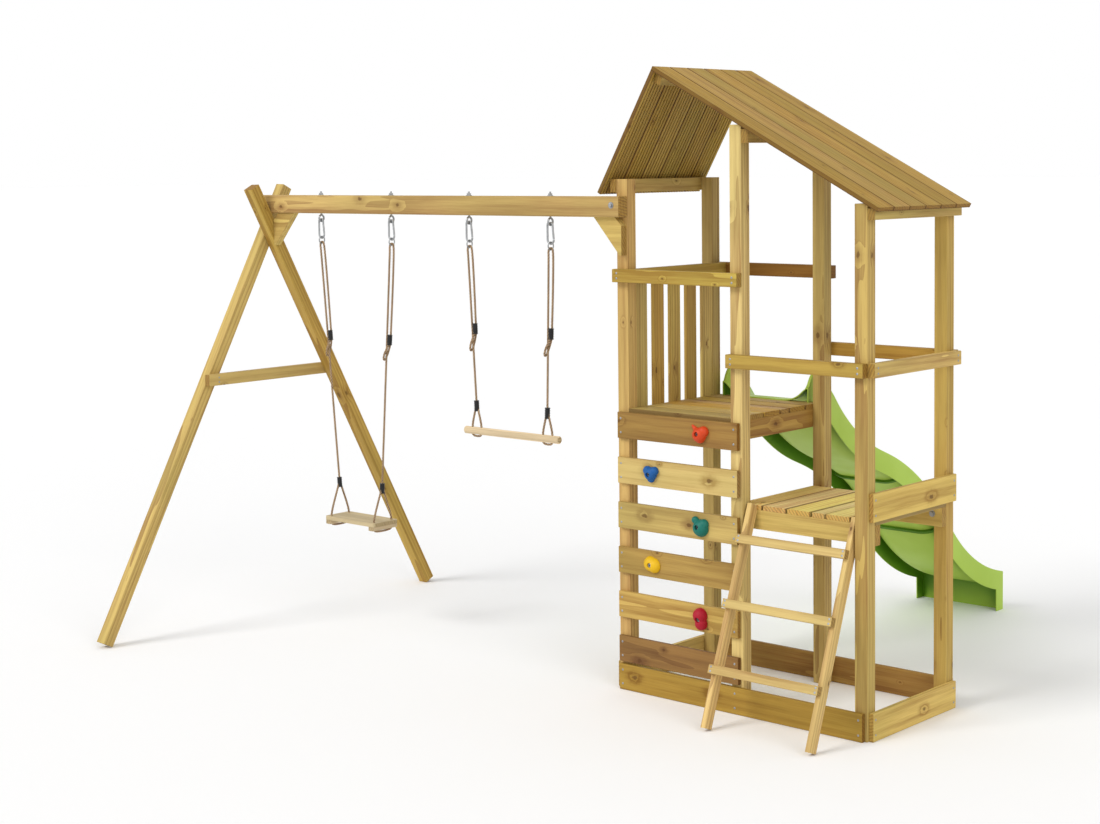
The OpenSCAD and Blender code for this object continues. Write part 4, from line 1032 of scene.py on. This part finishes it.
class CLIMB_OT_screws(bpy.types.Operator):
    """Set the wood screws and bolts at the joints"""

    bl_idname = "climb.screws"
    bl_label = "Screws and bolts"

    def execute(self, context):
        steel = galvanised("screw_steel")
        model = screw_model(context.scene.climbing_rope.screw)
        places = []

        def add(point, normal):
            places.append((point, normal, 0.7 * len(places)))

        def pairs(name, face, inset, apart, ends=None):
            """Two screws above each other at both ends of a board that faces one way."""
            low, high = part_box(name)
            middle = (low.z + high.z) / 2
            for z in (middle - apart / 2, middle + apart / 2):
                if face in (FRONT, BACK):
                    for x in ends or (low.x + inset, high.x - inset):
                        add(Vector((x, low.y if face == FRONT else high.y, z)), face)
                else:
                    for y in (low.y + inset, high.y - inset):
                        add(Vector((low.x if face == LEFT else high.x, y, z)), face)

        for i in range(1, 7):
            pairs("climbing_board_%d" % i, FRONT, BOARD_IN, BOARD_APART)
        low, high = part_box("base_boards_long")
        ends = (low.x + BOARD_IN, spot(MIDDLE_POST, 0, 0).x, high.x - BOARD_IN)
        for face in (FRONT, BACK):
            pairs("base_boards_long", face, BOARD_IN, BOARD_APART, ends)
        for face in (LEFT, RIGHT):
            pairs("base_boards_short", face, BOARD_IN, BOARD_APART)
        pairs("deck_side_board", RIGHT, BOARD_IN, BOARD_APART)
        for name, face in (("upper_rail_front", FRONT), ("lower_rail_front", FRONT),
                           ("upper_rail_back", BACK), ("lower_rail_back", BACK),
                           ("upper_rail_left", LEFT), ("lower_rail_right", RIGHT)):
            pairs(name, face, RAIL_IN, RAIL_APART)
        pairs("swing_leg_brace", RIGHT, BRACE_IN, RAIL_APART)
        # Rungs, on the leaning front of the ladder
        lean = math.radians(LADDER_LEAN)
        for i in range(RUNGS):
            for x in LADDER_X:
                for up_rung in RUNG_SCREWS:
                    a, b = LADDER_FRONT, FIRST_RUNG + RUNG_STEP * i + up_rung
                    add(spot(x, LADDER_FOOT + a * math.cos(lean) + b * math.sin(lean),
                             -a * math.sin(lean) + b * math.cos(lean)), (0, -math.cos(lean), math.sin(lean)))
        # Slats, on their inner side
        low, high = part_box("balustrade_slats")
        for i in range(SLATS):
            y = low.y + SLAT_MIDDLE + (high.y - low.y - 2 * SLAT_MIDDLE) * i / (SLATS - 1)
            for z in (low.z + SLAT_END, high.z - SLAT_END):
                for dy in (-SLAT_APART, SLAT_APART):
                    add(Vector((high.x, y + dy, z)), RIGHT)
        put(copies(model, places, "frame_screws"), steel, "frame", "steel")
        bpy.data.objects.remove(model)
        # Bolts through the beam into the tower and through the lower deck's joists
        model = bolt_model(0.0145, 0.007)
        low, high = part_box("lower_deck_joists")
        bolts = [(spot(*BEAM_BOLT), FRONT, 0.3)]
        for x in (low.x + 0.05, high.x - 0.045):
            bolts.append((Vector((x, high.y - 0.034, (low.z + high.z) / 2 + 0.012)), FRONT, 0.5))
        put(copies(model, bolts, "frame_bolts"), steel, "frame", "steel")
        bpy.data.objects.remove(model)
        return {"FINISHED"}


# Suns: place, strength and the angle they are seen under, in degrees
SUNS = {"key": ((-2.5, -8.5, 7.0), 1.5, 24), "fill": ((8.5, -3.5, 5.0), 0.8, 40)}
# The camera: yaw, pitch and roll in degrees, its place, and in pixels the focal length, width and shift
CAMERA_TURN, CAMERA_AT = (41.892, 3.913, 0.652), (5246.2, -6277.7, 2260.1)
FOCAL, PHOTO_WIDE, SHIFT, SENSOR = 1924.2, 1100, 412 - 295, 36.0


class CLIMB_OT_stage(bpy.types.Operator):
    """Set the pale floor, the lamps and the camera"""

    bl_idname = "climb.stage"
    bl_label = "Stage"

    def execute(self, context):
        scene = context.scene
        scene.view_settings.view_transform = "Standard"
        clear_selection()
        bpy.ops.mesh.primitive_plane_add(size=400, location=(0, 0, -0.001))
        floor = context.object
        floor.name = "floor"
        settle(floor)
        material, _, shader, _ = start_material("pale_floor")
        shader.inputs["Base Color"].default_value = (0.98, 0.98, 0.98, 1)
        shader.inputs["Roughness"].default_value = 0.9
        floor.data.materials.append(material)
        world = bpy.data.worlds.new("studio")
        scene.world = world
        world.use_nodes = True
        world.node_tree.nodes.clear()
        n = Nodes(world.node_tree)
        rays = n.add("LightPath").outputs
        seen = n.math("MAXIMUM", rays["Is Camera Ray"], n.math(
            "MAXIMUM", rays["Is Glossy Ray"], rays["Is Transmission Ray"]))
        soft = n.add("Background", {"Color": (1, 1, 1, 1), "Strength": 0.6})
        white = n.add("Background", {"Color": (1, 1, 1, 1), "Strength": 1.0})
        both = n.add("MixShader", {0: seen, 1: soft.outputs[0], 2: white.outputs[0]})
        link(n, both.outputs[0], n.add("OutputWorld").inputs[0])
        for name, (where, power, soft_angle) in SUNS.items():
            data = bpy.data.lights.new(name, "SUN")
            data.energy, data.angle = power, math.radians(soft_angle)
            lamp = add_object(name, data)
            lamp.location = where
            lamp.rotation_euler = (-Vector(where)).to_track_quat("-Z", "Y").to_euler()
        self.aim_camera(scene)
        return {"FINISHED"}

    def aim_camera(self, scene):
        yaw, pitch, roll = (math.radians(a) for a in CAMERA_TURN)
        ahead = Vector((-math.sin(yaw) * math.cos(pitch), math.cos(yaw) * math.cos(pitch), -math.sin(pitch)))
        right = Vector((math.cos(yaw), math.sin(yaw), 0))
        below = ahead.cross(right)
        side = right * math.cos(roll) + below * math.sin(roll)
        lower = below * math.cos(roll) - right * math.sin(roll)
        data = bpy.data.cameras.new("photo_camera")
        data.sensor_width, data.lens = SENSOR, FOCAL / PHOTO_WIDE * SENSOR
        data.shift_y = -SHIFT / PHOTO_WIDE
        camera = add_object("photo_camera", data)
        turn = Matrix((side, -lower, -ahead)).transposed().to_4x4()
        camera.matrix_world = Matrix.Translation(spot(*CAMERA_AT)) @ turn
        scene.camera = camera


class CLIMB_PT_panel(bpy.types.Panel):
    """The climbing frame's steps"""

    bl_label = "Climbing frame"
    bl_idname = "CLIMB_PT_panel"
    bl_space_type = "VIEW_3D"
    bl_region_type = "UI"
    bl_category = "Climbing frame"

    def draw(self, context):
        for step in STEPS:
            self.layout.operator(step)
        scene = context.scene
        for settings in (scene.climbing_timber, scene.climbing_finish, scene.climbing_rope):
            for key in settings.__annotations__:
                self.layout.prop(settings, key)


STEPS = ("climb.stage", "climb.ropes", "climb.timber", "climb.slide", "climb.holds", "climb.fittings",
         "climb.screws")
CLASSES = (TimberSettings, FinishSettings, RopeSettings, CLIMB_OT_stage, CLIMB_OT_ropes, CLIMB_OT_timber,
           CLIMB_OT_slide, CLIMB_OT_holds, CLIMB_OT_fittings, CLIMB_OT_screws, CLIMB_PT_panel)


def register():
    for c in CLASSES:
        bpy.utils.register_class(c)
    bpy.types.Scene.climbing_timber = bpy.props.PointerProperty(type=TimberSettings)
    bpy.types.Scene.climbing_finish = bpy.props.PointerProperty(type=FinishSettings)
    bpy.types.Scene.climbing_rope = bpy.props.PointerProperty(type=RopeSettings)


def unregister():
    del bpy.types.Scene.climbing_rope
    del bpy.types.Scene.climbing_finish
    del bpy.types.Scene.climbing_timber
    for c in reversed(CLASSES):
        bpy.utils.unregister_class(c)


def main():
    register()
    bpy.ops.climb.stage()
    bpy.ops.climb.ropes()
    bpy.ops.climb.timber()
    bpy.ops.climb.slide()
    bpy.ops.climb.holds()
    bpy.ops.climb.fittings()
    bpy.ops.climb.screws()


if __name__ == "__main__":
    main()
